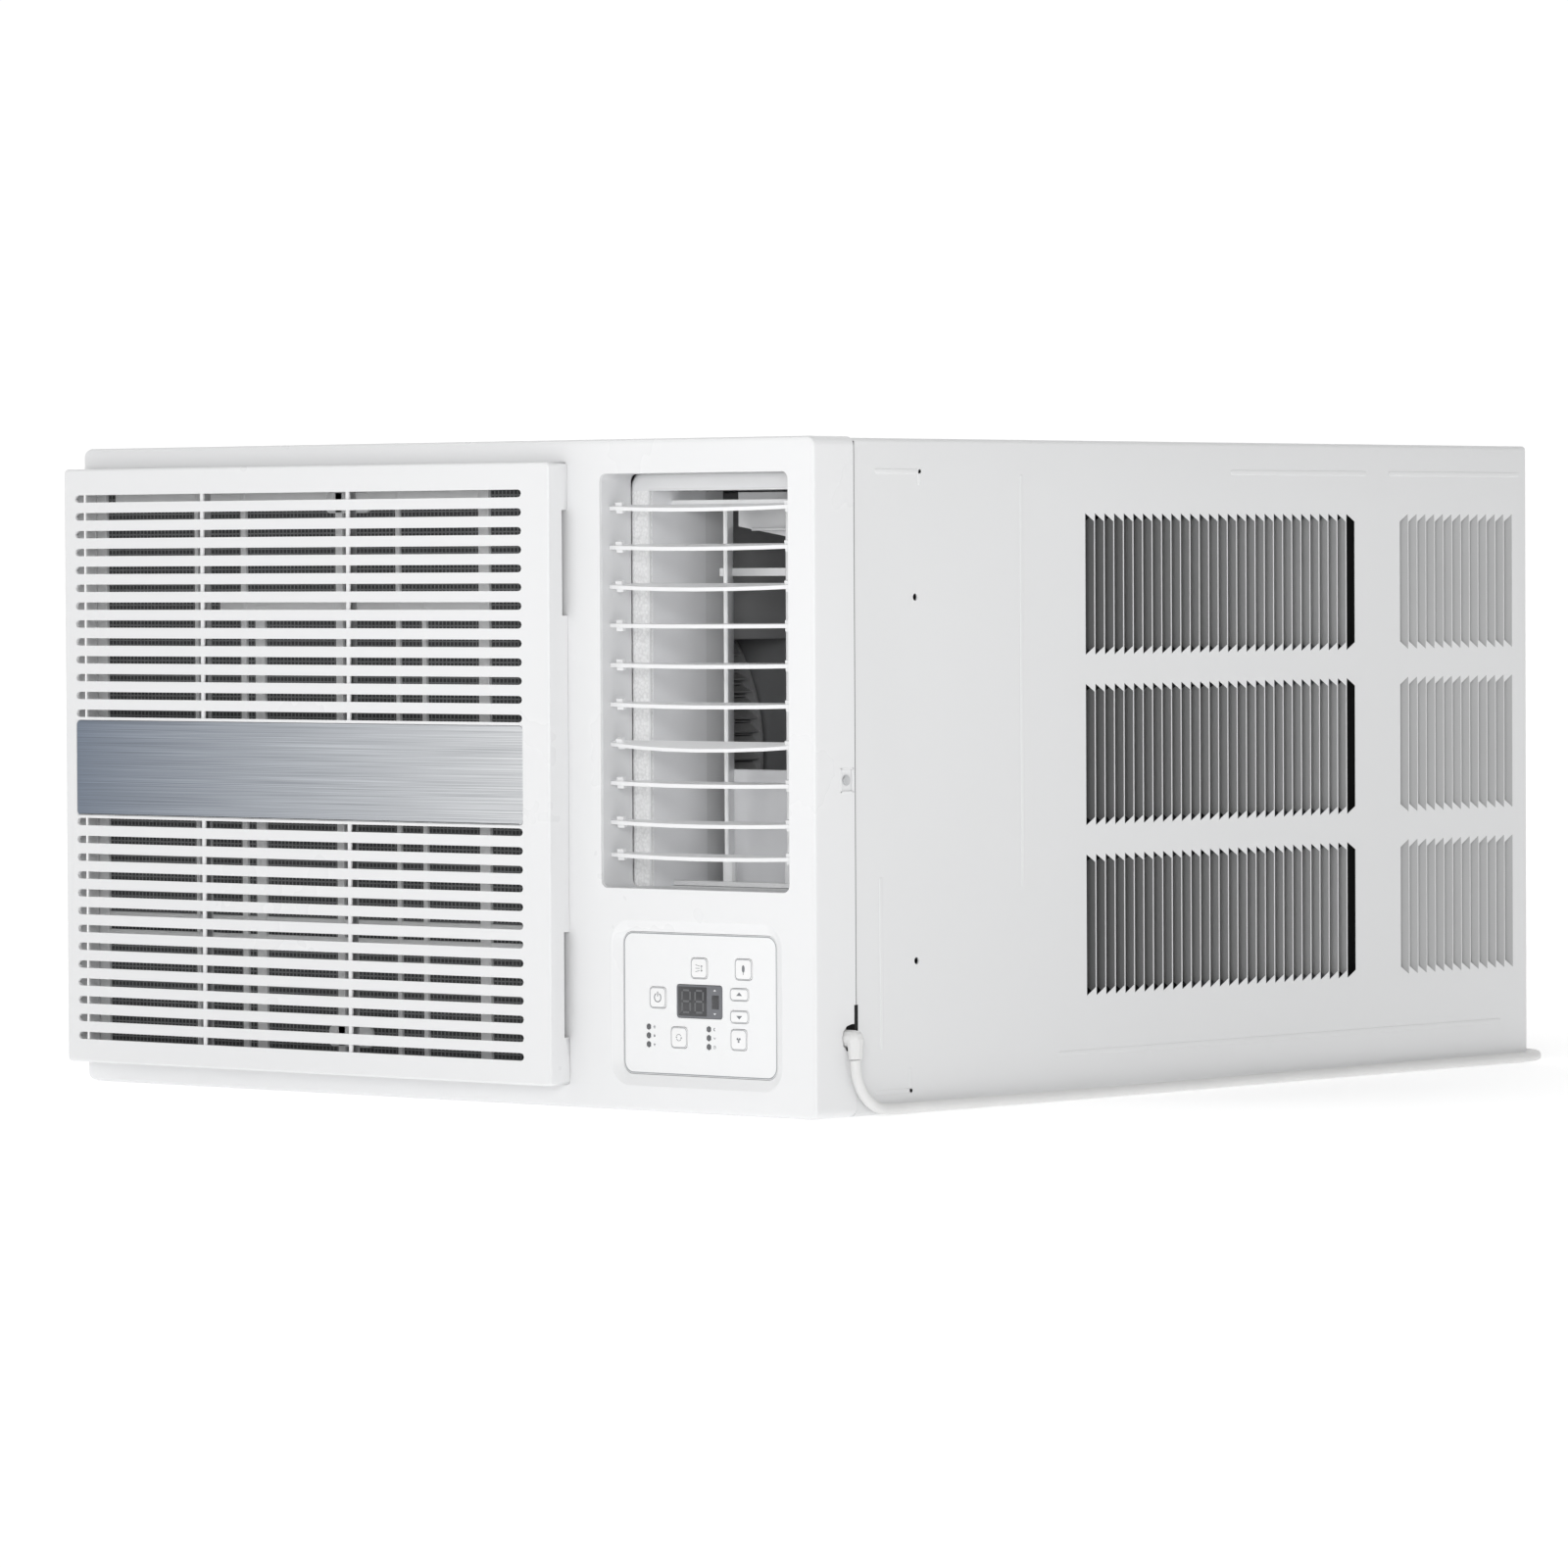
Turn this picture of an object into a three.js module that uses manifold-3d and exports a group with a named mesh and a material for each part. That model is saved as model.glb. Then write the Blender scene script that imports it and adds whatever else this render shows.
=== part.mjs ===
// Window air conditioner: plastic front with a hinged intake grille, steel sleeve, and the chassis inside it.
// Millimetres, +Z up. The origin is at the middle of the base; the front faces -Y and +X is the right side.

import * as THREE from 'three';
import { mergeVertices } from 'three/addons/utils/BufferGeometryUtils.js';
import Module from 'manifold-3d';

const wasm = await Module();
wasm.setup();

// ---- Overall sizes ----
const WIDTH = 660;
const HEIGHT = 430;
const SLEEVE_LENGTH = 717;
const BEZEL_DEPTH = 38;
const PANEL_PROUD = 18;

// ---- Clearances ----
const TOUCH = 0.3;
const JOIN = 0.5;
const PIVOT_CLEARANCE = 0.4;
const KEY_CLEARANCE = 0.4;

// ---- Front, from which the other places are measured ----
const REAR = (PANEL_PROUD + BEZEL_DEPTH + SLEEVE_LENGTH) / 2;
const FRONT = -REAR;
const BEZEL_FRONT = FRONT + PANEL_PROUD;
const SEAM = BEZEL_FRONT + BEZEL_DEPTH;
const LEFT = -WIDTH / 2;
const RIGHT = WIDTH / 2;

// ---- Bezel ----
const BEZEL_WALL = 3;
const BEZEL_CORNER = 6;
const BEZEL_EDGE = 3;

// ---- Side screw ----
const SCREW_Z = 213;
const SCREW_FROM_SEAM = 7.6;
const SCREW_RADIUS = 1.6;
const SCREW_HEAD_RADIUS = 3.4;
const SCREW_RECESS_DEPTH = 1.2;
const SCREW_HEAD_THICKNESS = 0.8;
const SCREW_TAB_HALF_WIDTH = 6;
const SCREW_TAB_HALF_HEIGHT = 7.5;

// ---- Intake grille ----
const PANEL_WIDTH = 449;
const PANEL_MARGIN = 14;
const PANEL_WALL = 2.5;
const PANEL_SIDE_WALL = 2.2;
const PANEL_CORNER = 3;
const PANEL_EDGE = 1.5;
const PANEL_RIGHT = LEFT + PANEL_WIDTH;
const PANEL_BOTTOM = PANEL_MARGIN;
const PANEL_TOP = HEIGHT - PANEL_MARGIN;
const PANEL_REAR = BEZEL_FRONT - TOUCH;
const SLOT_PITCH = 12.1;
const SLOT_HEIGHT = 5;
const SLOTS_PER_BANK = 13;
const SLOT_SIDE_MARGIN = 11;
const SLOT_PLATE_MARGIN = 4.7;
const POST_WIDTH = 3;
const POST_DEPTH = 5.5;
const POST_SHARES = [0.293, 0.596];
const FINGER_CUT = 5;
const FINGER_CUT_LENGTH = 68;
const FINGER_CUT_INSET = 31;

// ---- Accent plate ----
const PLATE_HEIGHT = 64;
const PLATE_MIDDLE = 214;
const PLATE_THICKNESS = 1.5;
const PLATE_RIGHT_MARGIN = 24;
const PLATE_CORNER = 3;

// ---- Grille hinge ----
const HINGE_INSET = 5.5;
const HINGE_FORWARD = 6.2;
const HINGE_PIN_RADIUS = 1.6;
const LUG_RADIUS = 2.9;
const LUG_HEIGHT = 6;
const LUG_FROM_EDGE = 5;

// ---- Intake opening and air filter ----
const INTAKE_INSET = 12;
const INTAKE_EDGE = 7;
const FILTER_GAP = 0.5;
const FILTER_DEPTH = 4;
const FILTER_MESH = 0.8;
const FILTER_FRAME = 9;
const FILTER_RIBS_ACROSS = 5;
const FILTER_RIBS_UP = 3;
const FILTER_RIB_WIDTH = 4;

// ---- Discharge opening ----
const OUTLET_RIGHT_MARGIN = 22.2;
const OUTLET_WIDTH = 160.7;
const OUTLET_BOTTOM = 142.3;
const OUTLET_HEIGHT = 265.7;
const OUTLET_CORNER = 5;
const OUTLET_WALL = 2.5;
const OUTLET_DEPTH = 30;
const OUTLET_RIGHT = RIGHT - OUTLET_RIGHT_MARGIN;
const OUTLET_LEFT = OUTLET_RIGHT - OUTLET_WIDTH;
const OUTLET_TOP = OUTLET_BOTTOM + OUTLET_HEIGHT;

// ---- Horizontal louvers ----
const LOUVER_TOP_MARGIN = 21.7;
const LOUVER_LAST_MARGIN = 21.2;
const LOUVER_LAST_STEP = 0.83;
const LOUVER_BACK = 11;
const LOUVER_THICKNESS = 2.6;
const LOUVER_BOW = 7;
const LOUVER_HALF_CHORD = 2.2;
const LOUVER_PIN_RADIUS = 1.5;
const LOUVER_PIN_LENGTH = 2;
const LOUVER_COLLAR_RADIUS = 3.6;
const LOUVER_COLLAR_INSET = 5;
const LOUVER_COLLAR_WIDTH = 5.5;
const LOUVER_COLLAR_DEPTH = 3;
const LOUVER_TILTS = [12, 10, 14, 3, 6, 9, 25, 8, 10, 9.5];
const LOUVER_SPAN = OUTLET_HEIGHT - LOUVER_TOP_MARGIN - LOUVER_LAST_MARGIN;
const LOUVER_PITCH = LOUVER_SPAN / (LOUVER_TILTS.length - 2 + LOUVER_LAST_STEP);

// ---- Foam duct behind the discharge opening ----
const DUCT_WALL = 16;
const DUCT_GAP = 2;
const DUCT_SIDE_STEP = 16;
const DUCT_TOP_STEP = 11;
const DUCT_DEPTH = 52;
const DUCT_FRONT = BEZEL_FRONT + OUTLET_DEPTH + DUCT_GAP;
const DUCT_REAR = DUCT_FRONT + DUCT_DEPTH;
const DUCT_LEFT = OUTLET_LEFT + DUCT_SIDE_STEP;
const DUCT_RIGHT = OUTLET_RIGHT - DUCT_SIDE_STEP / 2;
const DUCT_TOP = OUTLET_TOP - DUCT_TOP_STEP;
const DUCT_FLOOR = OUTLET_BOTTOM;

// ---- Vertical vanes and their swing drive ----
const VANE_PITCH = 53;
const VANE_REST_TURN = 36.4;
const VANE_CHORD = 40;
const VANE_THICKNESS = 3;
const VANE_BACK = 25;
const VANE_MIDDLE_SHIFT = 2;
const VANE_ARM = 18;
const VANE_PIN_RADIUS = 2.5;
const VANE_LINK_PIN_RADIUS = 1.3;
const CRANK_PIN_RADIUS = 1.9;
const LINK_WIDTH = 6;
const LINK_HEIGHT = 5;
const LINK_OVERHANG = 7;
const LINK_TAB_EXTRA = 1;
const LINK_DROP = 44.5;
const RAIL_THICKNESS = 4.5;
const RAIL_WIDTH = 12;
const RAIL_TOP_GAP = 6;
const FLOOR_RAIL = 3;
const VANE_POST = 17;
const VANE_POST_RADIUS = 4.5;
const CRANK_BACK = 40;
const CRANK_SHIFT = 10;
const SWING_HUB_RADIUS = 5;
const SWING_SHAFT_RADIUS = 2.5;
const SWING_SHAFT_LENGTH = 8;
const SWING_MOTOR_RADIUS = 16;
const SWING_MOTOR_HEIGHT = 20;

// ---- Control panel ----
const CONTROL_RIGHT_MARGIN = 36.3;
const CONTROL_WIDTH = 131.2;
const CONTROL_BOTTOM = 23.5;
const CONTROL_HEIGHT = 91;
const CONTROL_CORNER = 8;
const CONTROL_SINK = 4;
const CONTROL_SPLAY = 7.5;
const CONTROL_THICKNESS = 2;
const CONTROL_LEDGE = 5.5;
const CONTROL_RIGHT = RIGHT - CONTROL_RIGHT_MARGIN;
const CONTROL_LEFT = CONTROL_RIGHT - CONTROL_WIDTH;
const CONTROL_TOP = CONTROL_BOTTOM + CONTROL_HEIGHT;
const CONTROL_FACE = BEZEL_FRONT + CONTROL_SINK;
const KEY_PROUD = 0.4;
const KEY_DEPTH = 5.6;
const KEY_FLANGE = 1;
const KEY_FLANGE_THICKNESS = 1.2;
const KEY_TRAVEL = 0.6;
const KEY_CORNER = 2.5;

// Each key: the distance of its middle from the panel's left and bottom edges, its width and its height.
const KEYS = {
  swing_key: [65.2, 69.0, 14.0, 13.0],
  energy_key: [102.9, 69.3, 14.4, 13.2],
  power_key: [29.6, 49.3, 14.0, 13.3],
  temperature_up_key: [99.3, 53.2, 15.8, 7.7],
  temperature_down_key: [99.3, 39.0, 15.6, 7.7],
  mode_key: [47.7, 24.3, 13.8, 13.3],
  fan_speed_key: [98.7, 24.5, 13.7, 13.1],
};
const DISPLAY_PLACE = [65.2, 47.7, 38.6, 21.1];
const DISPLAY_THICKNESS = 2.5;
const LIGHT_RADIUS = 1.9;
const LIGHT_COLUMNS = [21.4, 73.0];
const LIGHT_ROWS = [19.1, 24.8, 30.4];
const BOARD_BACK = 14.5;
const BOX_SHEET = 1.2;
const BOARD_MARGIN = 3;
const SWITCH_GAP = 0.25;
const SWITCH_HALF = 3;
const CAPACITOR_ACROSS = 40;
const CAPACITOR_UP = 30;
const CAPACITOR_RADIUS = 21;
const CAPACITOR_LENGTH = 70;
const CAPACITOR_REAR = 98.5;
const TERMINAL_LENGTH = 10;
const BOARD_THICKNESS = 1.6;

// ---- Steel sleeve ----
const SLEEVE_INSET = 1;
const SLEEVE_WALL = 1.2;
const SLEEVE_CORNER = 3;
const SLEEVE_FLANGE = 20;
const SLEEVE_LEFT = LEFT + SLEEVE_INSET;
const SLEEVE_RIGHT = RIGHT - SLEEVE_INSET;
const SLEEVE_TOP = HEIGHT - SLEEVE_INSET;
const SLEEVE_FRONT = SEAM + TOUCH;
const VENT_PITCH = 10;
const VENT_WIDTH = 5;
const VENT_ROWS = 3;
const VENT_ROW_BOTTOM = 66.7;
const VENT_ROW_PITCH = 111.3;
const VENT_ROW_HEIGHT = 92.5;
const WIDE_VENT_COUNT = 29;
const WIDE_VENT_START = 232;
const NARROW_VENT_COUNT = 13;
const NARROW_VENT_START = 572;

// ---- Chassis ----
const PAN_GAP = 4;
const PAN_SIDE_GAP = 7;
const PAN_REAR_GAP = 8;
const PAN_LIFT = 2;
const PAN_SHEET = 1.5;
const PAN_LIP = 30;
const PAN_FRONT_LIP = 12;
const PAN_FLOOR = PAN_LIFT + PAN_SHEET;
const SHAFT_X = -20;
const SHAFT_Z = 225;
const SHAFT_RADIUS = 6;
const EVAPORATOR_DEPTH = 30;
const EVAPORATOR_BACK = 46;
const COIL_TOP_GAP = 18;
const COIL_END_PLATE = 2;
const CONDENSER_DEPTH = 44;
const CONDENSER_REAR_GAP = 14;
const SCROLL_DEPTH = 134;
const SCROLL_WALL = 3;
const SCROLL_START_RADIUS = 142;
const SCROLL_GROWTH = 32;
const SCROLL_INLET_RADIUS = 104;
const SCROLL_FRONT = DUCT_REAR + TOUCH;
const SCROLL_REAR = SCROLL_FRONT + SCROLL_DEPTH;
const WHEEL_RADIUS = 128;
const WHEEL_BLADE_DEPTH = 15;
const WHEEL_FRONT_GAP = 14;
const WHEEL_LENGTH = 104;
const BULKHEAD_GAP = 4;
const BULKHEAD_SHEET = 1.5;
const BULKHEAD_HOLE_RADIUS = 24;
const BULKHEAD_Y = SCROLL_REAR + BULKHEAD_GAP;
const MOTOR_RADIUS = 62;
const MOTOR_BOSS_RADIUS = 20;
const MOTOR_LENGTH = 110;
const MOTOR_GAP = 8;
const STAND_CLEARANCE = 1;
const MOTOR_FRONT = BULKHEAD_Y + BULKHEAD_SHEET + MOTOR_GAP;
const FAN_RADIUS = 162;
const FAN_HUB_RADIUS = 38;
const FAN_BLADES = 5;
const FAN_BLADE_THICKNESS = 2.4;
const FAN_BLADE_CHORD = 74;
const FAN_BLADE_TURN = 27;
const SHROUD_SHEET = 1.5;
const SHROUD_RING_WALL = 2.5;
const SHROUD_LIP = 36;
const COMPRESSOR_RADIUS = 60;
const COMPRESSOR_X = 215;
const COMPRESSOR_Y = 60;
const COMPRESSOR_BASE = 18;
const COMPRESSOR_TOP = 300;
const FOOT_CIRCLE = 80;
const FOOT_RADIUS = 13;
const ACCUMULATOR_RADIUS = 26;
const ACCUMULATOR_LENGTH = 170;
const SUCTION_RADIUS = 5;
const LINE_RADIUS = 3.2;
const DISCHARGE_RADIUS = 4;
const PIPE_GAP_X = 143;
const PIPE_GAP_WIDTH = 44;
const PIPE_GAP_BOTTOM = 34;
const PIPE_GAP_TOP = 78;

// ---- Mains cord ----
const CORD_DIAMETER = 7;
const CORD_SIDES = 8;
const CORD_STEP = 20;
const FLOOR_GAP = 0.4;
const CORD_X = RIGHT + 5.3;
const CORD_Y = BEZEL_FRONT + 31;
const NOTCH_Y = CORD_Y + 2.5;
const NOTCH_Z = 50;
const NOTCH_RADIUS = 9;
const RELIEF_FLANGE = 3;
const RELIEF_FLANGE_RADIUS = 8;
const RELIEF_STUB = 8;
const RELIEF_RADIUS = 5.5;
const RELIEF_TIP_RADIUS = 4.3;
const RELIEF_DROP = 13;
const COIL_X = 190;
const COIL_Y = 454;
const COIL_MEAN_RADIUS = 38.5;
const COIL_SECTION = 14.2;
const PLUG_HALF_WIDTH = 22;
const PLUG_THICKNESS = 26;
const PLUG_LENGTH = 38;
const PLUG_NECK_RADIUS = 6;
const PLUG_NECK_LENGTH = 16;

// ---- Finishes ----
const FINISHES = {
  whitePlastic: { color: 0xf1f2f2, roughness: 0.32, metalness: 0 },
  greyPlastic: { color: 0xb4b7ba, roughness: 0.5, metalness: 0 },
  keyPlastic: { color: 0xf6f6f6, roughness: 0.4, metalness: 0 },
  brushedPlate: { color: 0xa3abb4, roughness: 0.35, metalness: 0.9 },
  darkWindow: { color: 0x1c1d20, roughness: 0.12, metalness: 0 },
  lamp: { color: 0x5a5c60, roughness: 0.3, metalness: 0 },
  paintedSteel: { color: 0xe6e8e9, roughness: 0.42, metalness: 0.1 },
  galvanised: { color: 0x9fa3a6, roughness: 0.5, metalness: 0.85 },
  aluminiumFin: { color: 0xc5c8ca, roughness: 0.4, metalness: 0.9 },
  copper: { color: 0xb8693f, roughness: 0.3, metalness: 1 },
  blackPaint: { color: 0x1d1e20, roughness: 0.45, metalness: 0.2 },
  blackPlastic: { color: 0x2a2b2d, roughness: 0.55, metalness: 0 },
  filterMesh: { color: 0x45474a, roughness: 0.8, metalness: 0 },
  foam: { color: 0xd6d7d8, roughness: 0.9, metalness: 0 },
  rubber: { color: 0x222222, roughness: 0.85, metalness: 0 },
  board: { color: 0x2c5a3a, roughness: 0.6, metalness: 0 },
  steel: { color: 0xc0c3c6, roughness: 0.3, metalness: 1 },
  cordWhite: { color: 0xebebea, roughness: 0.5, metalness: 0 },
};

// ---- Solids from geometries ----

function degrees(angle) {
  return (angle * Math.PI) / 180;
}

// A closed geometry as a solid, with its shared vertices merged and its faces turned out.
function solidOf(geometry) {
  const bare = geometry.clone();
  bare.deleteAttribute('normal');
  bare.deleteAttribute('uv');
  const merged = mergeVertices(bare, 1e-4);
  const corners = merged.index.array;
  const kept = [];
  for (let i = 0; i < corners.length; i += 3) {
    const [a, b, c] = [corners[i], corners[i + 1], corners[i + 2]];
    if (a !== b && b !== c && c !== a) {
      kept.push(a, b, c);
    }
  }
  const position = merged.attributes.position.array;
  const triangles = new Uint32Array(volumeOf(position, kept) < 0 ? kept.reverse() : kept);
  const mesh = new wasm.Mesh({ numProp: 3, vertProperties: new Float32Array(position), triVerts: triangles });
  return new wasm.Manifold(mesh);
}

// Six times the volume inside a closed mesh, negative where its faces point in.
function volumeOf(position, triangles) {
  const [a, b, c] = [new THREE.Vector3(), new THREE.Vector3(), new THREE.Vector3()];
  let total = 0;
  for (let i = 0; i < triangles.length; i += 3) {
    a.fromArray(position, 3 * triangles[i]);
    b.fromArray(position, 3 * triangles[i + 1]);
    c.fromArray(position, 3 * triangles[i + 2]);
    total += a.dot(b.cross(c));
  }
  return total;
}

function geometryOf(solid) {
  const mesh = solid.getMesh();
  const geometry = new THREE.BufferGeometry();
  geometry.setAttribute('position', new THREE.BufferAttribute(new Float32Array(mesh.vertProperties), 3));
  geometry.setIndex(new THREE.BufferAttribute(new Uint32Array(mesh.triVerts), 1));
  geometry.computeVertexNormals();
  return geometry;
}

function join(solids) {
  return solids.reduce((whole, next) => whole.add(next));
}

function block(x0, x1, y0, y1, z0, z1) {
  const box = new THREE.BoxGeometry(x1 - x0, y1 - y0, z1 - z0);
  box.translate((x0 + x1) / 2, (y0 + y1) / 2, (z0 + z1) / 2);
  return solidOf(box);
}

function roundedRectangle(x0, x1, y0, y1, radius) {
  const shape = new THREE.Shape();
  shape.moveTo(x0 + radius, y0);
  shape.lineTo(x1 - radius, y0);
  shape.absarc(x1 - radius, y0 + radius, radius, -Math.PI / 2, 0);
  shape.lineTo(x1, y1 - radius);
  shape.absarc(x1 - radius, y1 - radius, radius, 0, Math.PI / 2);
  shape.lineTo(x0 + radius, y1);
  shape.absarc(x0 + radius, y1 - radius, radius, Math.PI / 2, Math.PI);
  shape.lineTo(x0, y0 + radius);
  shape.absarc(x0 + radius, y0 + radius, radius, Math.PI, 1.5 * Math.PI);
  return shape;
}

// An outline drawn in X and Z, carried from one Y to another.
function alongY(shape, y0, y1, curveSegments = 3) {
  const geometry = new THREE.ExtrudeGeometry(shape, { depth: y1 - y0, bevelEnabled: false, curveSegments });
  geometry.rotateX(Math.PI / 2);
  geometry.translate(0, y1, 0);
  return solidOf(geometry);
}

// The same, with its front edge eased by a round of the given size.
function alongYEased(shape, y0, y1, edge) {
  const geometry = new THREE.ExtrudeGeometry(shape, {
    depth: y1 - y0,
    bevelEnabled: true,
    bevelThickness: edge,
    bevelSize: edge,
    bevelOffset: -edge,
    bevelSegments: 2,
    curveSegments: 3,
  });
  geometry.rotateX(Math.PI / 2);
  geometry.translate(0, y1 + edge, 0);
  const behind = block(2 * LEFT, 2 * RIGHT, y1, y1 + 4 * edge, -HEIGHT, 2 * HEIGHT);
  return solidOf(geometry).subtract(behind);
}

// An outline drawn in X and Y, carried up from one height to another.
function alongZ(shape, z0, z1, curveSegments = 4) {
  const geometry = new THREE.ExtrudeGeometry(shape, { depth: z1 - z0, bevelEnabled: false, curveSegments });
  geometry.translate(0, 0, z0);
  return solidOf(geometry);
}

function rodX(y, z, radius, x0, x1, sides = 12) {
  const geometry = new THREE.CylinderGeometry(radius, radius, x1 - x0, sides);
  geometry.rotateZ(Math.PI / 2);
  geometry.translate((x0 + x1) / 2, y, z);
  return solidOf(geometry);
}

function rodY(x, z, radius, y0, y1, sides = 24) {
  const geometry = new THREE.CylinderGeometry(radius, radius, y1 - y0, sides);
  geometry.translate(x, (y0 + y1) / 2, z);
  return solidOf(geometry);
}

function rodZ(x, y, radius, z0, z1, sides = 12, tipRadius = radius) {
  const geometry = new THREE.CylinderGeometry(tipRadius, radius, z1 - z0, sides);
  geometry.rotateX(Math.PI / 2);
  geometry.translate(x, y, (z0 + z1) / 2);
  return solidOf(geometry);
}

// A tube of round section along a smooth curve through the given points.
function tube(points, radius, sides, step) {
  const curve = new THREE.CatmullRomCurve3(points.map((p) => new THREE.Vector3(...p)), false, 'centripetal');
  const steps = Math.max(6, Math.round(curve.getLength() / step));
  const section = new THREE.Shape();
  for (let i = 0; i < sides; i += 1) {
    const angle = (2 * Math.PI * i) / sides;
    const corner = [radius * Math.cos(angle), radius * Math.sin(angle)];
    if (i === 0) {
      section.moveTo(...corner);
    } else {
      section.lineTo(...corner);
    }
  }
  return solidOf(new THREE.ExtrudeGeometry(section, { steps, extrudePath: curve, bevelEnabled: false }));
}

const airConditioner = new THREE.Group();

function part(name, solid, finish, place = [0, 0, 0], turn = [0, 0, 0]) {
  const mesh = new THREE.Mesh(geometryOf(solid), new THREE.MeshStandardMaterial(FINISHES[finish]));
  mesh.name = name;
  mesh.position.set(...place);
  mesh.rotation.set(...turn);
  airConditioner.add(mesh);
}

// ---- Places shared by several pieces ----

const louverY = BEZEL_FRONT + LOUVER_BACK;
const louverHeights = LOUVER_TILTS.map((_, i) => {
  const steps = i < LOUVER_TILTS.length - 1 ? i : i - 1 + LOUVER_LAST_STEP;
  return OUTLET_TOP - LOUVER_TOP_MARGIN - steps * LOUVER_PITCH;
});
const hingeX = LEFT + HINGE_INSET;
const hingeY = BEZEL_FRONT - HINGE_FORWARD;
const hingeStarts = [PANEL_BOTTOM + LUG_FROM_EDGE, PANEL_TOP - LUG_FROM_EDGE - LUG_HEIGHT];
const plateLeft = LEFT + SLOT_SIDE_MARGIN;
const plateRight = PANEL_RIGHT - PLATE_RIGHT_MARGIN;
const plateBottom = PLATE_MIDDLE - PLATE_HEIGHT / 2;
const plateTop = PLATE_MIDDLE + PLATE_HEIGHT / 2;
const vaneY = DUCT_FRONT + VANE_BACK;
const vaneMiddle = (DUCT_LEFT + DUCT_RIGHT) / 2 + VANE_MIDDLE_SHIFT;
const vaneXs = [vaneMiddle - VANE_PITCH / 2, vaneMiddle + VANE_PITCH / 2];
const armX = -VANE_ARM * Math.sin(degrees(VANE_REST_TURN));
const armY = VANE_ARM * Math.cos(degrees(VANE_REST_TURN));
const railTop = DUCT_TOP - RAIL_TOP_GAP;
const railBottom = railTop - RAIL_THICKNESS;
const vaneTop = railBottom - 2;
const postTop = DUCT_FLOOR + TOUCH + FLOOR_RAIL + VANE_POST;
const vaneBottom = postTop + 1;
const linkBottom = railBottom - LINK_DROP;
const linkTop = linkBottom + LINK_HEIGHT;
const crankX = vaneXs[1] - CRANK_SHIFT;
const crankY = vaneY + CRANK_BACK;
const swingMotorBottom = railBottom - TOUCH - SWING_MOTOR_HEIGHT;
const filterFront = BEZEL_FRONT + 1;
const intakeLeft = LEFT + INTAKE_INSET;
const intakeRight = PANEL_RIGHT - INTAKE_EDGE;
const intakeBottom = PANEL_BOTTOM + INTAKE_EDGE;
const intakeTop = PANEL_TOP - INTAKE_EDGE;
const boardFront = BEZEL_FRONT + BOARD_BACK;
const panRear = REAR - PAN_REAR_GAP;
const condenserRear = REAR - CONDENSER_REAR_GAP;
const condenserFront = condenserRear - CONDENSER_DEPTH;
const shroudY = condenserFront - 6;
const coilTop = HEIGHT - COIL_TOP_GAP;
const coilBottom = PAN_FLOOR + TOUCH;

function keyBounds([across, up, width, height], extra) {
  const x = CONTROL_LEFT + across;
  const z = CONTROL_BOTTOM + up;
  return [x - width / 2 - extra, x + width / 2 + extra, z - height / 2 - extra, z + height / 2 + extra];
}

function lightPlaces() {
  return LIGHT_COLUMNS.flatMap((across) =>
    LIGHT_ROWS.map((up) => [CONTROL_LEFT + across, CONTROL_BOTTOM + up]),
  );
}

// ---- Front: bezel, grille, plate, filter ----

function hingeLug(z0) {
  const knuckle = rodZ(hingeX, hingeY, LUG_RADIUS, z0, z0 + LUG_HEIGHT);
  const stem = block(hingeX - LUG_RADIUS, hingeX + LUG_RADIUS, hingeY, BEZEL_FRONT + 1, z0, z0 + LUG_HEIGHT);
  const bore = rodZ(hingeX, hingeY, HINGE_PIN_RADIUS + PIVOT_CLEARANCE, z0 - 1, z0 + LUG_HEIGHT + 1);
  return knuckle.add(stem).subtract(bore);
}

// The bezel around the control panel: a splayed recess, a ledge for the panel and a window behind it.
function controlPocket() {
  const around = CONTROL_SPLAY + 3;
  const ledgeRear = CONTROL_FACE + CONTROL_THICKNESS + TOUCH + BEZEL_WALL;
  return block(
    CONTROL_LEFT - around, CONTROL_RIGHT + around, BEZEL_FRONT + 0.5, ledgeRear,
    CONTROL_BOTTOM - around, CONTROL_TOP + around,
  );
}

function controlPocketCut() {
  const outline = roundedRectangle(CONTROL_LEFT, CONTROL_RIGHT, CONTROL_BOTTOM, CONTROL_TOP, CONTROL_CORNER);
  const splay = new THREE.ExtrudeGeometry(outline, {
    depth: 1,
    bevelEnabled: true,
    bevelThickness: CONTROL_SINK,
    bevelSize: CONTROL_SPLAY,
    bevelSegments: 1,
    curveSegments: 3,
  });
  splay.rotateX(Math.PI / 2);
  splay.translate(0, BEZEL_FRONT, 0);
  const seat = roundedRectangle(
    CONTROL_LEFT - TOUCH, CONTROL_RIGHT + TOUCH, CONTROL_BOTTOM - TOUCH, CONTROL_TOP + TOUCH, CONTROL_CORNER,
  );
  const seatDepth = CONTROL_FACE + CONTROL_THICKNESS + TOUCH;
  const window = block(
    CONTROL_LEFT + CONTROL_LEDGE, CONTROL_RIGHT - CONTROL_LEDGE, BEZEL_FRONT, seatDepth + 2 * BEZEL_WALL,
    CONTROL_BOTTOM + CONTROL_LEDGE, CONTROL_TOP - CONTROL_LEDGE,
  );
  return join([solidOf(splay), alongY(seat, CONTROL_FACE - 1, seatDepth), window]);
}

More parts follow.
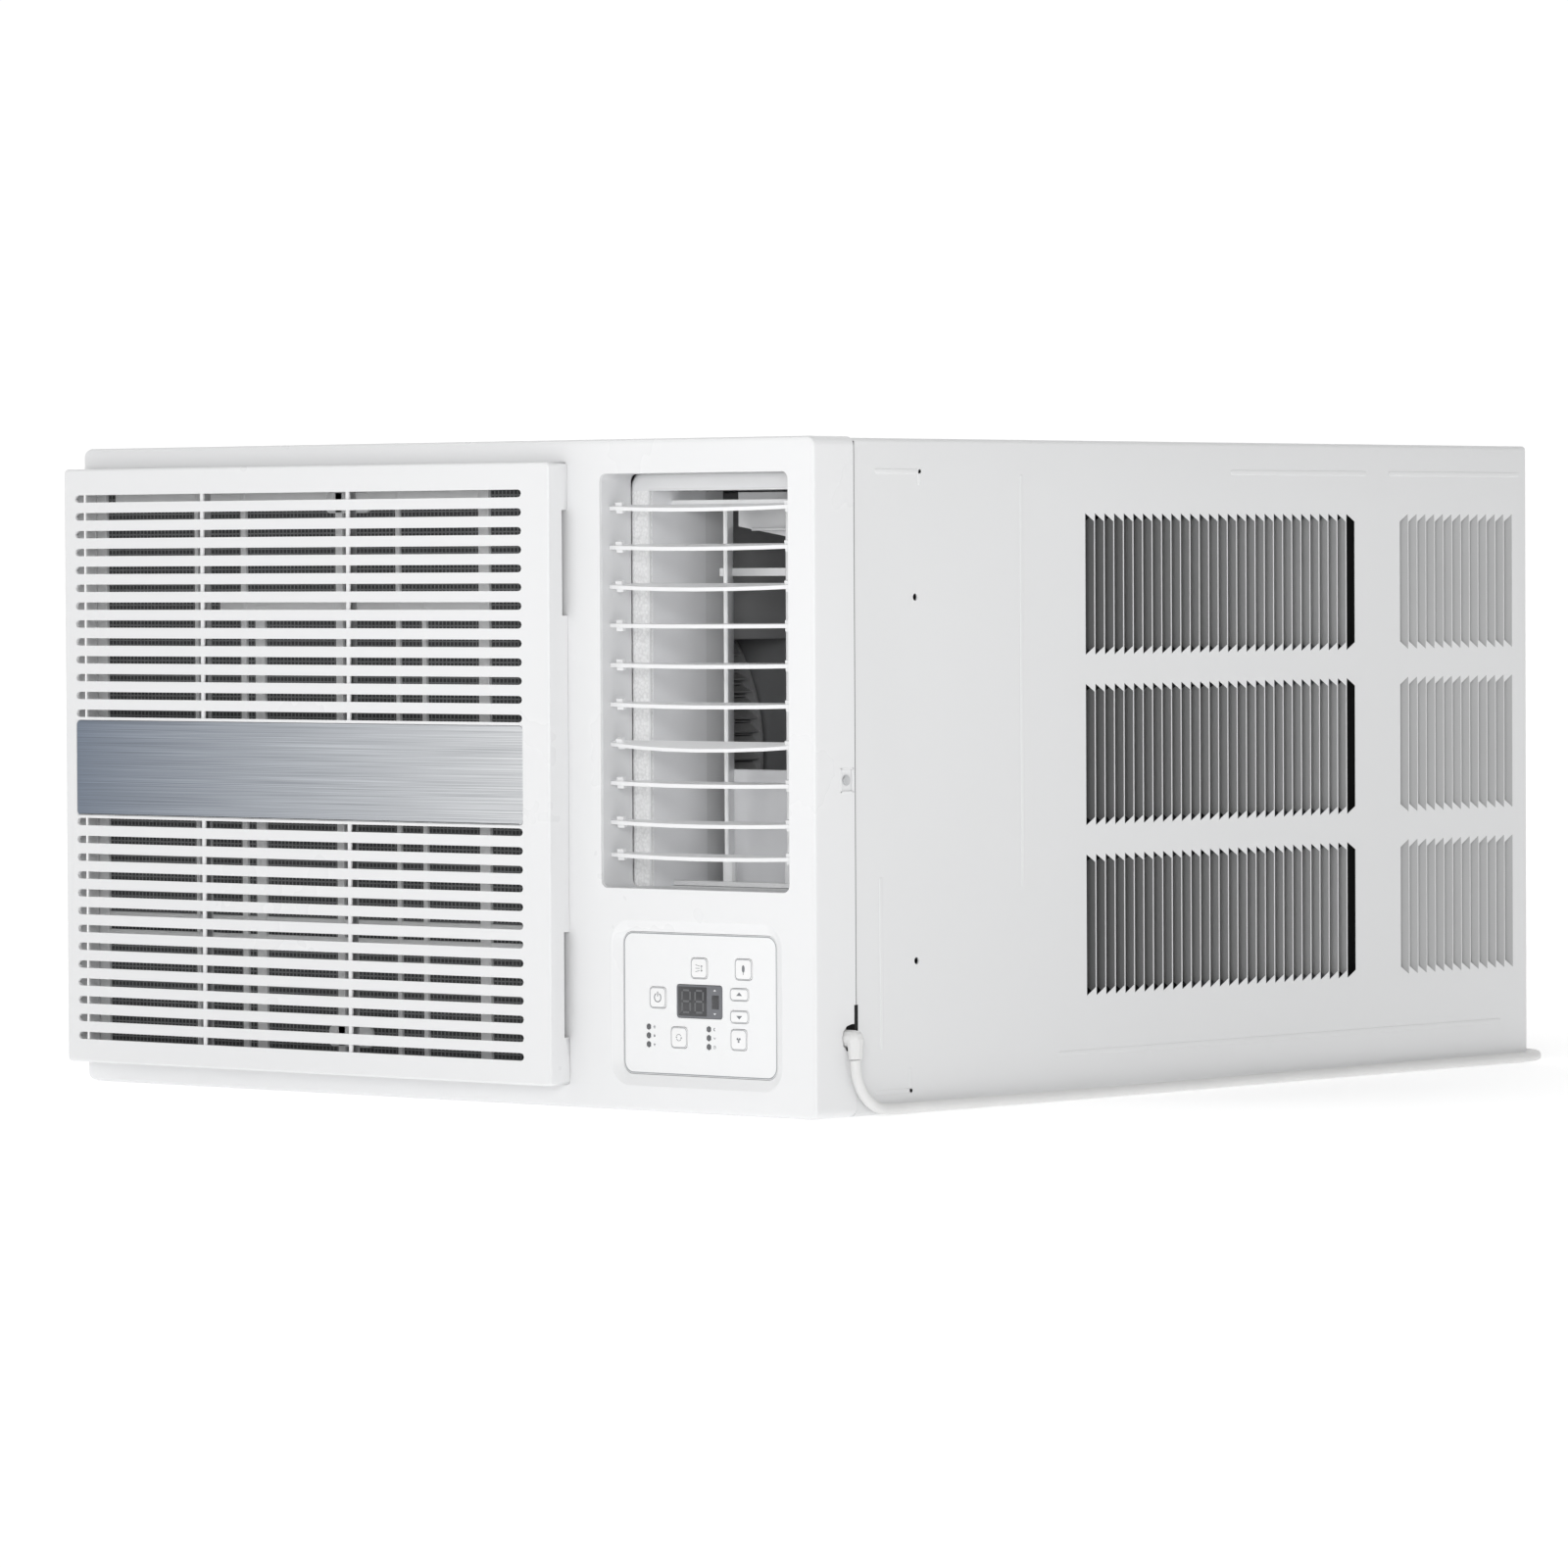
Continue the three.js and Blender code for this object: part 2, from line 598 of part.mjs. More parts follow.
function frontBezel() {
  const outline = roundedRectangle(LEFT, RIGHT, 0, HEIGHT, BEZEL_CORNER);
  const opening = roundedRectangle(OUTLET_LEFT, OUTLET_RIGHT, OUTLET_BOTTOM, OUTLET_TOP, OUTLET_CORNER);
  const rim = roundedRectangle(
    OUTLET_LEFT - OUTLET_WALL, OUTLET_RIGHT + OUTLET_WALL,
    OUTLET_BOTTOM - OUTLET_WALL, OUTLET_TOP + OUTLET_WALL, OUTLET_CORNER + OUTLET_WALL,
  );
  const inside = block(
    LEFT + BEZEL_WALL, RIGHT - BEZEL_WALL, BEZEL_FRONT + BEZEL_WALL, SEAM + 1,
    BEZEL_WALL, HEIGHT - BEZEL_WALL,
  );
  const shell = alongYEased(outline, BEZEL_FRONT, SEAM, BEZEL_EDGE).subtract(inside);
  const solids = join([
    shell,
    alongY(rim, BEZEL_FRONT + 1, BEZEL_FRONT + OUTLET_DEPTH),
    controlPocket(),
    ...hingeStarts.map(hingeLug),
  ]);
  const pinRadius = LOUVER_PIN_RADIUS + PIVOT_CLEARANCE;
  const pinHoles = louverHeights.flatMap((z) => [
    rodX(louverY, z, pinRadius, OUTLET_LEFT - LOUVER_PIN_LENGTH - TOUCH, OUTLET_LEFT + 1, 6),
    rodX(louverY, z, pinRadius, OUTLET_RIGHT - 1, OUTLET_RIGHT + LOUVER_PIN_LENGTH + TOUCH, 6),
  ]);
  const cuts = join([
    alongY(opening, BEZEL_FRONT - 1, SEAM + 1),
    block(intakeLeft, intakeRight, BEZEL_FRONT - 1, BEZEL_FRONT + BEZEL_WALL + 1, intakeBottom, intakeTop),
    controlPocketCut(),
    ...pinHoles,
    ...screwRecess(),
    rodX(NOTCH_Y, NOTCH_Z, NOTCH_RADIUS, RIGHT - 2 * BEZEL_WALL, RIGHT + 1),
    block(
      RIGHT - 2 * BEZEL_WALL, RIGHT + 1, NOTCH_Y, SEAM + 1, NOTCH_Z - NOTCH_RADIUS, NOTCH_Z + NOTCH_RADIUS,
    ),
  ]);
  return solids.subtract(cuts);
}

function screwRecess() {
  const y = SEAM - SCREW_FROM_SEAM;
  const floorX = RIGHT - SCREW_RECESS_DEPTH;
  return [
    block(
      floorX, RIGHT + 1, y - SCREW_TAB_HALF_WIDTH, y + SCREW_TAB_HALF_WIDTH,
      SCREW_Z - SCREW_TAB_HALF_HEIGHT, SCREW_Z + SCREW_TAB_HALF_HEIGHT,
    ),
    rodX(y, SCREW_Z, SCREW_RADIUS + TOUCH, RIGHT - 2 * BEZEL_WALL, RIGHT + 1, 8),
  ];
}

function bezelScrew() {
  const y = SEAM - SCREW_FROM_SEAM;
  const floorX = RIGHT - SCREW_RECESS_DEPTH + TOUCH;
  const head = rodX(y, SCREW_Z, SCREW_HEAD_RADIUS, floorX, floorX + SCREW_HEAD_THICKNESS, 12);
  const shank = rodX(y, SCREW_Z, SCREW_RADIUS, RIGHT - BEZEL_WALL - 8, floorX + SCREW_HEAD_THICKNESS / 2, 8);
  return head.add(shank);
}

function intakeGrille() {
  const outline = roundedRectangle(LEFT, PANEL_RIGHT, PANEL_BOTTOM, PANEL_TOP, PANEL_CORNER);
  const pocket = block(
    LEFT + PANEL_SIDE_WALL, PANEL_RIGHT - PANEL_WALL, FRONT + PANEL_WALL, PANEL_REAR + 1,
    PANEL_BOTTOM + PANEL_WALL, PANEL_TOP - PANEL_WALL,
  );
  const backing = block(
    plateLeft - 3, plateRight + 3, FRONT + PANEL_WALL - 0.5, FRONT + PANEL_WALL + 2,
    plateBottom - 1.5, plateTop + 1.5,
  );
  const slotShape = (z) => roundedRectangle(
    plateLeft, plateRight, z - SLOT_HEIGHT / 2, z + SLOT_HEIGHT / 2, SLOT_HEIGHT / 2 - 0.01,
  );
  const slotHeights = [];
  for (let i = 0; i < SLOTS_PER_BANK; i += 1) {
    const away = PLATE_HEIGHT / 2 + SLOT_PLATE_MARGIN + i * SLOT_PITCH;
    slotHeights.push(PLATE_MIDDLE + away, PLATE_MIDDLE - away);
  }
  const slots = slotHeights.map((z) => alongY(slotShape(z), FRONT - 1, FRONT + PANEL_WALL + 1, 1));
  const seat = roundedRectangle(
    plateLeft - TOUCH, plateRight + TOUCH, plateBottom - TOUCH, plateTop + TOUCH, PLATE_CORNER,
  );
  const fingerStarts = [PANEL_TOP - FINGER_CUT_INSET - FINGER_CUT_LENGTH, PANEL_BOTTOM + FINGER_CUT_INSET];
  const fingerCuts = fingerStarts.map((z) => block(
    PANEL_RIGHT - 2 * PANEL_WALL, PANEL_RIGHT + 1, PANEL_REAR - FINGER_CUT, PANEL_REAR + 1,
    z, z + FINGER_CUT_LENGTH,
  ));
  const lugNotches = hingeStarts.map((z) =>
    block(LEFT - 1, LEFT + PANEL_SIDE_WALL + 0.1, FRONT + 3, PANEL_REAR + 1, z - 1, z + LUG_HEIGHT + 1),
  );
  const rearCorner = block(LEFT - 1, hingeX, hingeY, PANEL_REAR + 1, 0, HEIGHT).subtract(
    rodZ(hingeX, hingeY, HINGE_FORWARD - TOUCH, -1, HEIGHT + 1, 32),
  );
  const posts = POST_SHARES.map((share) => {
    const x = LEFT + share * PANEL_WIDTH;
    return block(
      x - POST_WIDTH / 2, x + POST_WIDTH / 2, FRONT + PANEL_WALL - 0.4, FRONT + PANEL_WALL + POST_DEPTH,
      PANEL_BOTTOM + 1, PANEL_TOP - 1,
    );
  });
  const pinReach = LUG_FROM_EDGE + LUG_HEIGHT + 3;
  const pins = [
    rodZ(hingeX, hingeY, HINGE_PIN_RADIUS, PANEL_BOTTOM + 1, PANEL_BOTTOM + pinReach, 12),
    rodZ(hingeX, hingeY, HINGE_PIN_RADIUS, PANEL_TOP - pinReach, PANEL_TOP - 1, 12),
  ];
  return alongYEased(outline, FRONT, PANEL_REAR, PANEL_EDGE)
    .subtract(pocket)
    .add(backing)
    .subtract(join(slots))
    .add(join(posts))
    .subtract(join([alongY(seat, FRONT - 1, FRONT + PLATE_THICKNESS + TOUCH), ...fingerCuts, ...lugNotches]))
    .subtract(rearCorner)
    .add(join(pins));
}

function accentPlate() {
  const outline = roundedRectangle(plateLeft, plateRight, plateBottom, plateTop, PLATE_CORNER);
  return alongY(outline, FRONT, FRONT + PLATE_THICKNESS);
}

function airFilter() {
  const [x0, x1] = [intakeLeft + FILTER_GAP, intakeRight - FILTER_GAP];
  const [z0, z1] = [intakeBottom + FILTER_GAP, intakeTop - FILTER_GAP];
  const frame = block(x0, x1, filterFront, filterFront + FILTER_DEPTH, z0, z1).subtract(block(
    x0 + FILTER_FRAME, x1 - FILTER_FRAME, filterFront - 1, filterFront + FILTER_DEPTH + 1,
    z0 + FILTER_FRAME, z1 - FILTER_FRAME,
  ));
  const meshY = filterFront + FILTER_DEPTH / 2;
  const mesh = block(x0 + 1, x1 - 1, meshY, meshY + FILTER_MESH, z0 + 1, z1 - 1);
  const ribs = [];
  const ribHalf = FILTER_RIB_WIDTH / 2;
  const filterRear = filterFront + FILTER_DEPTH;
  for (let i = 1; i <= FILTER_RIBS_ACROSS; i += 1) {
    const x = x0 + (i * (x1 - x0)) / (FILTER_RIBS_ACROSS + 1);
    ribs.push(block(x - ribHalf, x + ribHalf, filterFront, filterRear, z0 + 1, z1 - 1));
  }
  for (let i = 1; i <= FILTER_RIBS_UP; i += 1) {
    const z = z0 + (i * (z1 - z0)) / (FILTER_RIBS_UP + 1);
    ribs.push(block(x0 + 1, x1 - 1, filterFront, filterRear, z - ribHalf, z + ribHalf));
  }
  return join([frame, mesh, ...ribs]);
}

part('front_bezel', frontBezel(), 'whitePlastic');
part('bezel_screw_right', bezelScrew(), 'steel');
part('intake_grille', intakeGrille(), 'whitePlastic');
part('accent_plate', accentPlate(), 'brushedPlate');
part('air_filter', airFilter(), 'filterMesh');

// ---- Horizontal louvers, each turning on its own pins ----

function louver() {
  const length = OUTLET_WIDTH - 2 * PIVOT_CLEARANCE;
  const shape = new THREE.Shape();
  shape.moveTo(-length / 2, LOUVER_HALF_CHORD);
  shape.lineTo(-length / 2, -LOUVER_HALF_CHORD);
  shape.quadraticCurveTo(0, -LOUVER_HALF_CHORD - 2 * LOUVER_BOW, length / 2, -LOUVER_HALF_CHORD);
  shape.lineTo(length / 2, LOUVER_HALF_CHORD);
  const reach = length / 2 - LOUVER_COLLAR_INSET;
  const end = OUTLET_WIDTH / 2 + LOUVER_PIN_LENGTH;
  const collar = LOUVER_COLLAR_WIDTH;
  const collarHalf = LOUVER_COLLAR_DEPTH / 2;
  return join([
    alongZ(shape, -LOUVER_THICKNESS / 2, LOUVER_THICKNESS / 2, 6),
    rodX(0, 0, LOUVER_PIN_RADIUS, -end, -reach, 6),
    rodX(0, 0, LOUVER_PIN_RADIUS, reach, end, 6),
    block(-reach, collar - reach, -collarHalf, collarHalf, -LOUVER_COLLAR_RADIUS, LOUVER_COLLAR_RADIUS),
    block(reach - collar, reach, -collarHalf, collarHalf, -LOUVER_COLLAR_RADIUS, LOUVER_COLLAR_RADIUS),
  ]);
}

LOUVER_TILTS.forEach((tilt, i) => {
  const place = [(OUTLET_LEFT + OUTLET_RIGHT) / 2, louverY, louverHeights[i]];
  part(`louver_${i + 1}`, louver(), 'whitePlastic', place, [degrees(tilt), 0, 0]);
});

// ---- Foam duct, vertical vanes and their drive ----

function dischargeDuct() {
  const outside = block(
    DUCT_LEFT - DUCT_WALL, DUCT_RIGHT + DUCT_WALL, DUCT_FRONT, DUCT_REAR,
    DUCT_FLOOR - DUCT_WALL, DUCT_TOP + DUCT_WALL,
  );
  return outside.subtract(block(DUCT_LEFT, DUCT_RIGHT, DUCT_FRONT - 1, DUCT_REAR + 1, DUCT_FLOOR, DUCT_TOP));
}

// Upper and lower rails that carry the vanes, a post that joins them, and the plate that holds the motor.
function vaneCarrier() {
  const [x0, x1] = [DUCT_LEFT + TOUCH, DUCT_RIGHT - TOUCH];
  const [y0, y1] = [vaneY - RAIL_WIDTH / 2, vaneY + RAIL_WIDTH / 2];
  const floor = DUCT_FLOOR + TOUCH;
  const bore = VANE_PIN_RADIUS + PIVOT_CLEARANCE;
  const solids = join([
    block(x0, x1, y0, y1, railBottom, railTop),
    block(x0, x1, y0, y1, floor, floor + FLOOR_RAIL),
    block(x1 - RAIL_THICKNESS, x1, y0, y1, floor, railTop),
    block(crankX - SWING_MOTOR_RADIUS, x1, y0, crankY + SWING_MOTOR_RADIUS, railBottom, railTop),
    ...vaneXs.map((x) => rodZ(x, vaneY, VANE_POST_RADIUS, floor + 1, postTop)),
  ]);
  return solids.subtract(join(vaneXs.flatMap((x) => [
    rodZ(x, vaneY, bore, railBottom - 1, railTop + 1),
    rodZ(x, vaneY, bore, postTop - VANE_POST + 2, postTop + 1),
  ])));
}

// One vane, upright, with its chord along Y and its pivot on the local axis.
function vane() {
  const half = VANE_CHORD / 2;
  const thick = VANE_THICKNESS / 2;
  const blade = alongZ(roundedRectangle(-thick, thick, -half, half, thick - 0.01), vaneBottom, vaneTop, 1);
  const notch = block(-5, 5, VANE_ARM - LINK_WIDTH, half + 5, linkBottom - 2, linkTop + 2);
  return blade.subtract(notch).add(join([
    rodZ(0, 0, VANE_PIN_RADIUS, postTop - VANE_POST + 3, vaneBottom + 1, 8),
    rodZ(0, 0, VANE_PIN_RADIUS, vaneTop - 1, railTop - 0.5, 8),
    rodZ(0, VANE_ARM, VANE_LINK_PIN_RADIUS, linkBottom - 3, linkTop + 3, 8),
  ]));
}

function swingLink() {
  const pinY = vaneY + armY;
  const [z0, z1] = [linkBottom, linkTop];
  const half = LINK_WIDTH / 2;
  const bar = block(
    vaneXs[0] + armX - LINK_OVERHANG, vaneXs[1] + armX + LINK_OVERHANG, pinY - half, pinY + half, z0, z1,
  );
  const tabHalf = half + LINK_TAB_EXTRA;
  const tab = block(
    crankX + armX - tabHalf, crankX + armX + tabHalf, pinY, crankY + armY + tabHalf, z0, z1,
  );
  const bore = VANE_LINK_PIN_RADIUS + PIVOT_CLEARANCE;
  return bar.add(tab).subtract(join([
    ...vaneXs.map((x) => rodZ(x + armX, pinY, bore, z0 - 1, z1 + 1, 8)),
    rodZ(crankX + armX, crankY + armY, CRANK_PIN_RADIUS + PIVOT_CLEARANCE, z0 - 1, z1 + 1, 8),
  ]));
}

function swingCrank() {
  const armBottom = linkTop + 3;
  const arm = alongZ(roundedRectangle(-4, 4, -4, VANE_ARM + 4, 3.9), armBottom, armBottom + 4, 3);
  return join([
    arm,
    rodZ(0, 0, SWING_HUB_RADIUS, armBottom + 1, swingMotorBottom - 2 * TOUCH),
    rodZ(0, 0, SWING_SHAFT_RADIUS, armBottom + 2, swingMotorBottom + SWING_SHAFT_LENGTH),
    rodZ(0, VANE_ARM, CRANK_PIN_RADIUS, linkBottom - 2, armBottom + 1, 8),
  ]);
}

function swingMotor() {
  const top = swingMotorBottom + SWING_MOTOR_HEIGHT;
  const boreTop = swingMotorBottom + SWING_SHAFT_LENGTH + 2;
  const body = rodZ(crankX, crankY, SWING_MOTOR_RADIUS, swingMotorBottom, top, 20);
  const bore = rodZ(crankX, crankY, SWING_SHAFT_RADIUS + PIVOT_CLEARANCE, swingMotorBottom - 1, boreTop);
  return body.subtract(bore);
}

part('discharge_duct', dischargeDuct(), 'foam');
part('vane_carrier', vaneCarrier(), 'whitePlastic');
vaneXs.forEach((x, i) => {
  part(`vane_${i + 1}`, vane(), 'whitePlastic', [x, vaneY, 0], [0, 0, degrees(VANE_REST_TURN)]);
});
part('swing_link', swingLink(), 'whitePlastic');
part('swing_crank', swingCrank(), 'whitePlastic', [crankX, crankY, 0], [0, 0, degrees(VANE_REST_TURN)]);
part('swing_motor', swingMotor(), 'steel');

// ---- Control panel, keys, display, lights, board and box ----

function controlPanel() {
  const outline = roundedRectangle(CONTROL_LEFT, CONTROL_RIGHT, CONTROL_BOTTOM, CONTROL_TOP, CONTROL_CORNER);
  const plate = alongY(outline, CONTROL_FACE, CONTROL_FACE + CONTROL_THICKNESS, 4);
  const [front, rear] = [CONTROL_FACE - 1, CONTROL_FACE + CONTROL_THICKNESS + 1];
  const keyHoles = Object.values(KEYS).map((key) =>
    alongY(roundedRectangle(...keyBounds(key, KEY_CLEARANCE), KEY_CORNER), front, rear, 1),
  );
  const lightHoles = lightPlaces().map(([x, z]) => rodY(x, z, LIGHT_RADIUS + TOUCH, front, rear, 6));
  const displayHole = alongY(roundedRectangle(...keyBounds(DISPLAY_PLACE, TOUCH), 2), front, rear, 2);
  return plate.subtract(join([...keyHoles, ...lightHoles, displayHole]));
}

// A key with a flange behind the panel that keeps it in.
function keyCap([, , width, height]) {
  const flangeFront = CONTROL_THICKNESS + TOUCH;
  const w = width / 2;
  const h = height / 2;
  const cap = alongY(roundedRectangle(-w, w, -h, h, KEY_CORNER), -KEY_PROUD, KEY_DEPTH - KEY_PROUD, 1);
  return cap.add(block(
    -w - KEY_FLANGE, w + KEY_FLANGE, flangeFront, flangeFront + KEY_FLANGE_THICKNESS,
    -h - KEY_FLANGE, h + KEY_FLANGE,
  ));
}

function displayWindow() {
  const outline = roundedRectangle(...keyBounds(DISPLAY_PLACE, 0), 2);
  return alongY(outline, CONTROL_FACE - 0.2, CONTROL_FACE - 0.2 + DISPLAY_THICKNESS, 2);
}

function lightGuide() {
  const barFront = CONTROL_FACE + CONTROL_THICKNESS + TOUCH;
  const barRear = barFront + 2;
  const columns = LIGHT_COLUMNS.map((across) => CONTROL_LEFT + across);
  const top = CONTROL_BOTTOM + Math.max(...LIGHT_ROWS) + 1.5;
  const bottom = CONTROL_BOTTOM + 9.5;
  return join([
    block(columns[0] - 1.5, columns[1] + 1.5, barFront, barRear, bottom, bottom + 4),
    ...columns.map((x) => block(x - 1.5, x + 1.5, barFront, barRear, bottom, top)),
    ...lightPlaces().map(([x, z]) => rodY(x, z, LIGHT_RADIUS, CONTROL_FACE - 0.2, barFront + 1, 6)),
  ]);
}

function controlBoard() {
  const board = block(
    CONTROL_LEFT - BOARD_MARGIN, CONTROL_RIGHT + BOARD_MARGIN, boardFront, boardFront + BOARD_THICKNESS,
    CONTROL_BOTTOM - BOARD_MARGIN, CONTROL_TOP + BOARD_MARGIN,
  );
  const switchTop = CONTROL_FACE - KEY_PROUD + KEY_DEPTH + KEY_TRAVEL + SWITCH_GAP;
  const switches = Object.values(KEYS).map(([across, up]) => {
    const [x, z] = [CONTROL_LEFT + across, CONTROL_BOTTOM + up];
    const half = SWITCH_HALF;
    return block(x - half, x + half, switchTop, boardFront + JOIN, z - half, z + half);
  });
  const [x0, x1, z0, z1] = keyBounds(DISPLAY_PLACE, -1);
  const digits = block(x0, x1, CONTROL_FACE + DISPLAY_THICKNESS + TOUCH, boardFront + JOIN, z0, z1);
  return join([board, digits, ...switches]);
}

function controlBox() {
  const front = boardFront + BOARD_THICKNESS + TOUCH;
  const rear = front + 100;
  const [x0, x1] = [CONTROL_LEFT - 10, CONTROL_RIGHT + 12];
  const [z0, z1] = [CONTROL_BOTTOM - 5, CONTROL_TOP + 6];
  const sheet = BOX_SHEET;
  return block(x0, x1, front, rear, z0, z1).subtract(
    block(x0 + sheet, x1 - sheet, front - 1, rear - sheet, z0 + sheet, z1 - sheet),
  );
}

function runCapacitor() {
  const [x, z] = [CONTROL_LEFT + CAPACITOR_ACROSS, CONTROL_BOTTOM + CAPACITOR_UP];
  const rear = boardFront + BOARD_THICKNESS + TOUCH + CAPACITOR_REAR;
  const front = rear - CAPACITOR_LENGTH;
  const can = rodY(x, z, CAPACITOR_RADIUS, front, rear, 16);
  return can.add(block(x - 7, x - 5, front - TERMINAL_LENGTH, front + 1, z - 4, z + 3));
}

part('control_panel', controlPanel(), 'whitePlastic');
Object.entries(KEYS).forEach(([name, key]) => {
  part(name, keyCap(key), 'keyPlastic', [CONTROL_LEFT + key[0], CONTROL_FACE, CONTROL_BOTTOM + key[1]]);
});
part('display_window', displayWindow(), 'darkWindow');
part('light_guide', lightGuide(), 'lamp');
part('control_board', controlBoard(), 'board');
part('control_box', controlBox(), 'galvanised');
part('run_capacitor', runCapacitor(), 'steel');

// ---- Sleeve and base pan ----

function ventSlots() {
  const fields = [[WIDE_VENT_START, WIDE_VENT_COUNT], [NARROW_VENT_START, NARROW_VENT_COUNT]];
  const slots = [];
  for (const [start, count] of fields) {
    for (let row = 0; row < VENT_ROWS; row += 1) {
      const z = VENT_ROW_BOTTOM + row * VENT_ROW_PITCH;
      for (let i = 0; i < count; i += 1) {
        const y = SEAM + start + i * VENT_PITCH;
        slots.push(block(LEFT - 1, RIGHT + 1, y, y + VENT_WIDTH, z, z + VENT_ROW_HEIGHT));
      }
    }
  }
  return slots;
}

function sleeve() {
  const outline = roundedRectangle(SLEEVE_LEFT, SLEEVE_RIGHT, 0, SLEEVE_TOP, SLEEVE_CORNER);
  const inside = roundedRectangle(
    SLEEVE_LEFT + SLEEVE_WALL, SLEEVE_RIGHT - SLEEVE_WALL, SLEEVE_WALL, SLEEVE_TOP - SLEEVE_WALL,
    SLEEVE_CORNER - SLEEVE_WALL,
  );
  const rearWindow = block(
    SLEEVE_LEFT + SLEEVE_FLANGE, SLEEVE_RIGHT - SLEEVE_FLANGE, REAR - 2 * SLEEVE_WALL, REAR + 1,
    SLEEVE_FLANGE, SLEEVE_TOP - SLEEVE_FLANGE,
  );
  return alongY(outline, SLEEVE_FRONT, REAR).subtract(join([
    alongY(inside, SLEEVE_FRONT - 1, REAR - SLEEVE_WALL),
    rearWindow,
    ...ventSlots(),
  ]));
}

function basePan() {
  const [x0, x1] = [LEFT + PAN_SIDE_GAP, RIGHT - PAN_SIDE_GAP];
  const [y0, y1] = [SEAM + PAN_GAP, panRear];
  const tray = block(x0, x1, y0, y1, PAN_LIFT, PAN_LIFT + PAN_LIP).subtract(block(
    x0 + PAN_SHEET, x1 - PAN_SHEET, y0 + PAN_SHEET, y1 - PAN_SHEET, PAN_FLOOR, PAN_LIFT + PAN_LIP + 1,
  ));
  const overFrontLip = block(
    x0 - 1, x1 + 1, y0 - 1, y0 + PAN_SHEET + 1, PAN_LIFT + PAN_FRONT_LIP, 2 * PAN_LIP,
  );
  return tray.subtract(overFrontLip);
}

part('cabinet', sleeve(), 'paintedSteel');
part('base_pan', basePan(), 'galvanised');

// ---- Coils ----

// A block of fins between two end plates that stand a little proud of it.
function finCoil(x0, x1, y0, y1) {
  return join([
    block(x0, x1, y0 + 1, y1 - 1, coilBottom + 1, coilTop - 1),
    block(x0 - COIL_END_PLATE, x0 + JOIN, y0, y1, coilBottom, coilTop),
    block(x1 - JOIN, x1 + COIL_END_PLATE, y0, y1, coilBottom, coilTop),
  ]);
}

const evaporatorFront = BEZEL_FRONT + EVAPORATOR_BACK;
const evaporatorRight = PANEL_RIGHT - 13;
part(
  'evaporator_coil',
  finCoil(LEFT + 13, evaporatorRight, evaporatorFront, evaporatorFront + EVAPORATOR_DEPTH),
  'aluminiumFin',
);
part('condenser_coil', finCoil(LEFT + 15, RIGHT - 15, condenserFront, condenserRear), 'aluminiumFin');

// ---- Blower side ----

// A spiral outline whose radius grows evenly over one turn.
function spiral(extra) {
  const shape = new THREE.Shape();
  const count = 36;
  for (let i = 0; i <= count; i += 1) {
    const turn = (2 * Math.PI * i) / count;
    const radius = SCROLL_START_RADIUS + (SCROLL_GROWTH * i) / count + extra;
    const corner = [SHAFT_X + radius * Math.cos(turn), SHAFT_Z + radius * Math.sin(turn)];
    if (i === 0) {
      shape.moveTo(...corner);
    } else {
      shape.lineTo(...corner);
    }
  }
  return shape;
}

function blowerScroll() {
  const [x0, x1] = [SHAFT_X + WHEEL_RADIUS, DUCT_RIGHT + DUCT_WALL - 4];
  const [z0, z1] = [DUCT_FLOOR - DUCT_WALL + 4, DUCT_TOP + DUCT_WALL - 4];
  const outside = alongY(spiral(SCROLL_WALL), SCROLL_FRONT, SCROLL_REAR).add(
    block(x0 - 60, x1, SCROLL_FRONT, SCROLL_REAR, z0, z1),
  );
  const inside = alongY(spiral(0), SCROLL_FRONT + SCROLL_WALL, SCROLL_REAR - SCROLL_WALL).add(block(
    x0 - 57, x1 - SCROLL_WALL, SCROLL_FRONT + SCROLL_WALL, SCROLL_REAR - SCROLL_WALL,
    z0 + SCROLL_WALL, z1 - SCROLL_WALL,
  ));
  return outside.subtract(join([
    inside,
    rodY(SHAFT_X, SHAFT_Z, SCROLL_INLET_RADIUS, SCROLL_FRONT - 1, SCROLL_FRONT + SCROLL_WALL + 1, 36),
    rodY(SHAFT_X, SHAFT_Z, 24, SCROLL_REAR - SCROLL_WALL - 1, SCROLL_REAR + 1, 16),
    block(DUCT_LEFT, DUCT_RIGHT, SCROLL_FRONT - 1, SCROLL_FRONT + SCROLL_WALL + 1, DUCT_FLOOR, DUCT_TOP),
  ]));
}

// Turned about the shaft: hub, back plate and the ring of blades.
function blowerWheel() {
  const front = SCROLL_FRONT + WHEEL_FRONT_GAP;
  const rear = front + WHEEL_LENGTH;
  const bore = SHAFT_RADIUS + TOUCH;
  const profile = [
    [bore, rear - 24], [18, rear - 24], [18, rear - 3], [WHEEL_RADIUS - WHEEL_BLADE_DEPTH, rear - 3],
    [WHEEL_RADIUS - WHEEL_BLADE_DEPTH, front], [WHEEL_RADIUS, front], [WHEEL_RADIUS, rear], [bore, rear],
    [bore, rear - 24],
  ].map(([r, y]) => new THREE.Vector2(r, y));
  const geometry = new THREE.LatheGeometry(profile, 24);
  geometry.translate(SHAFT_X, 0, SHAFT_Z);
  return solidOf(geometry);
}

function fanShaft() {
  return rodY(SHAFT_X, SHAFT_Z, SHAFT_RADIUS, SCROLL_FRONT + WHEEL_LENGTH - 20, shroudY - 6, 12);
}

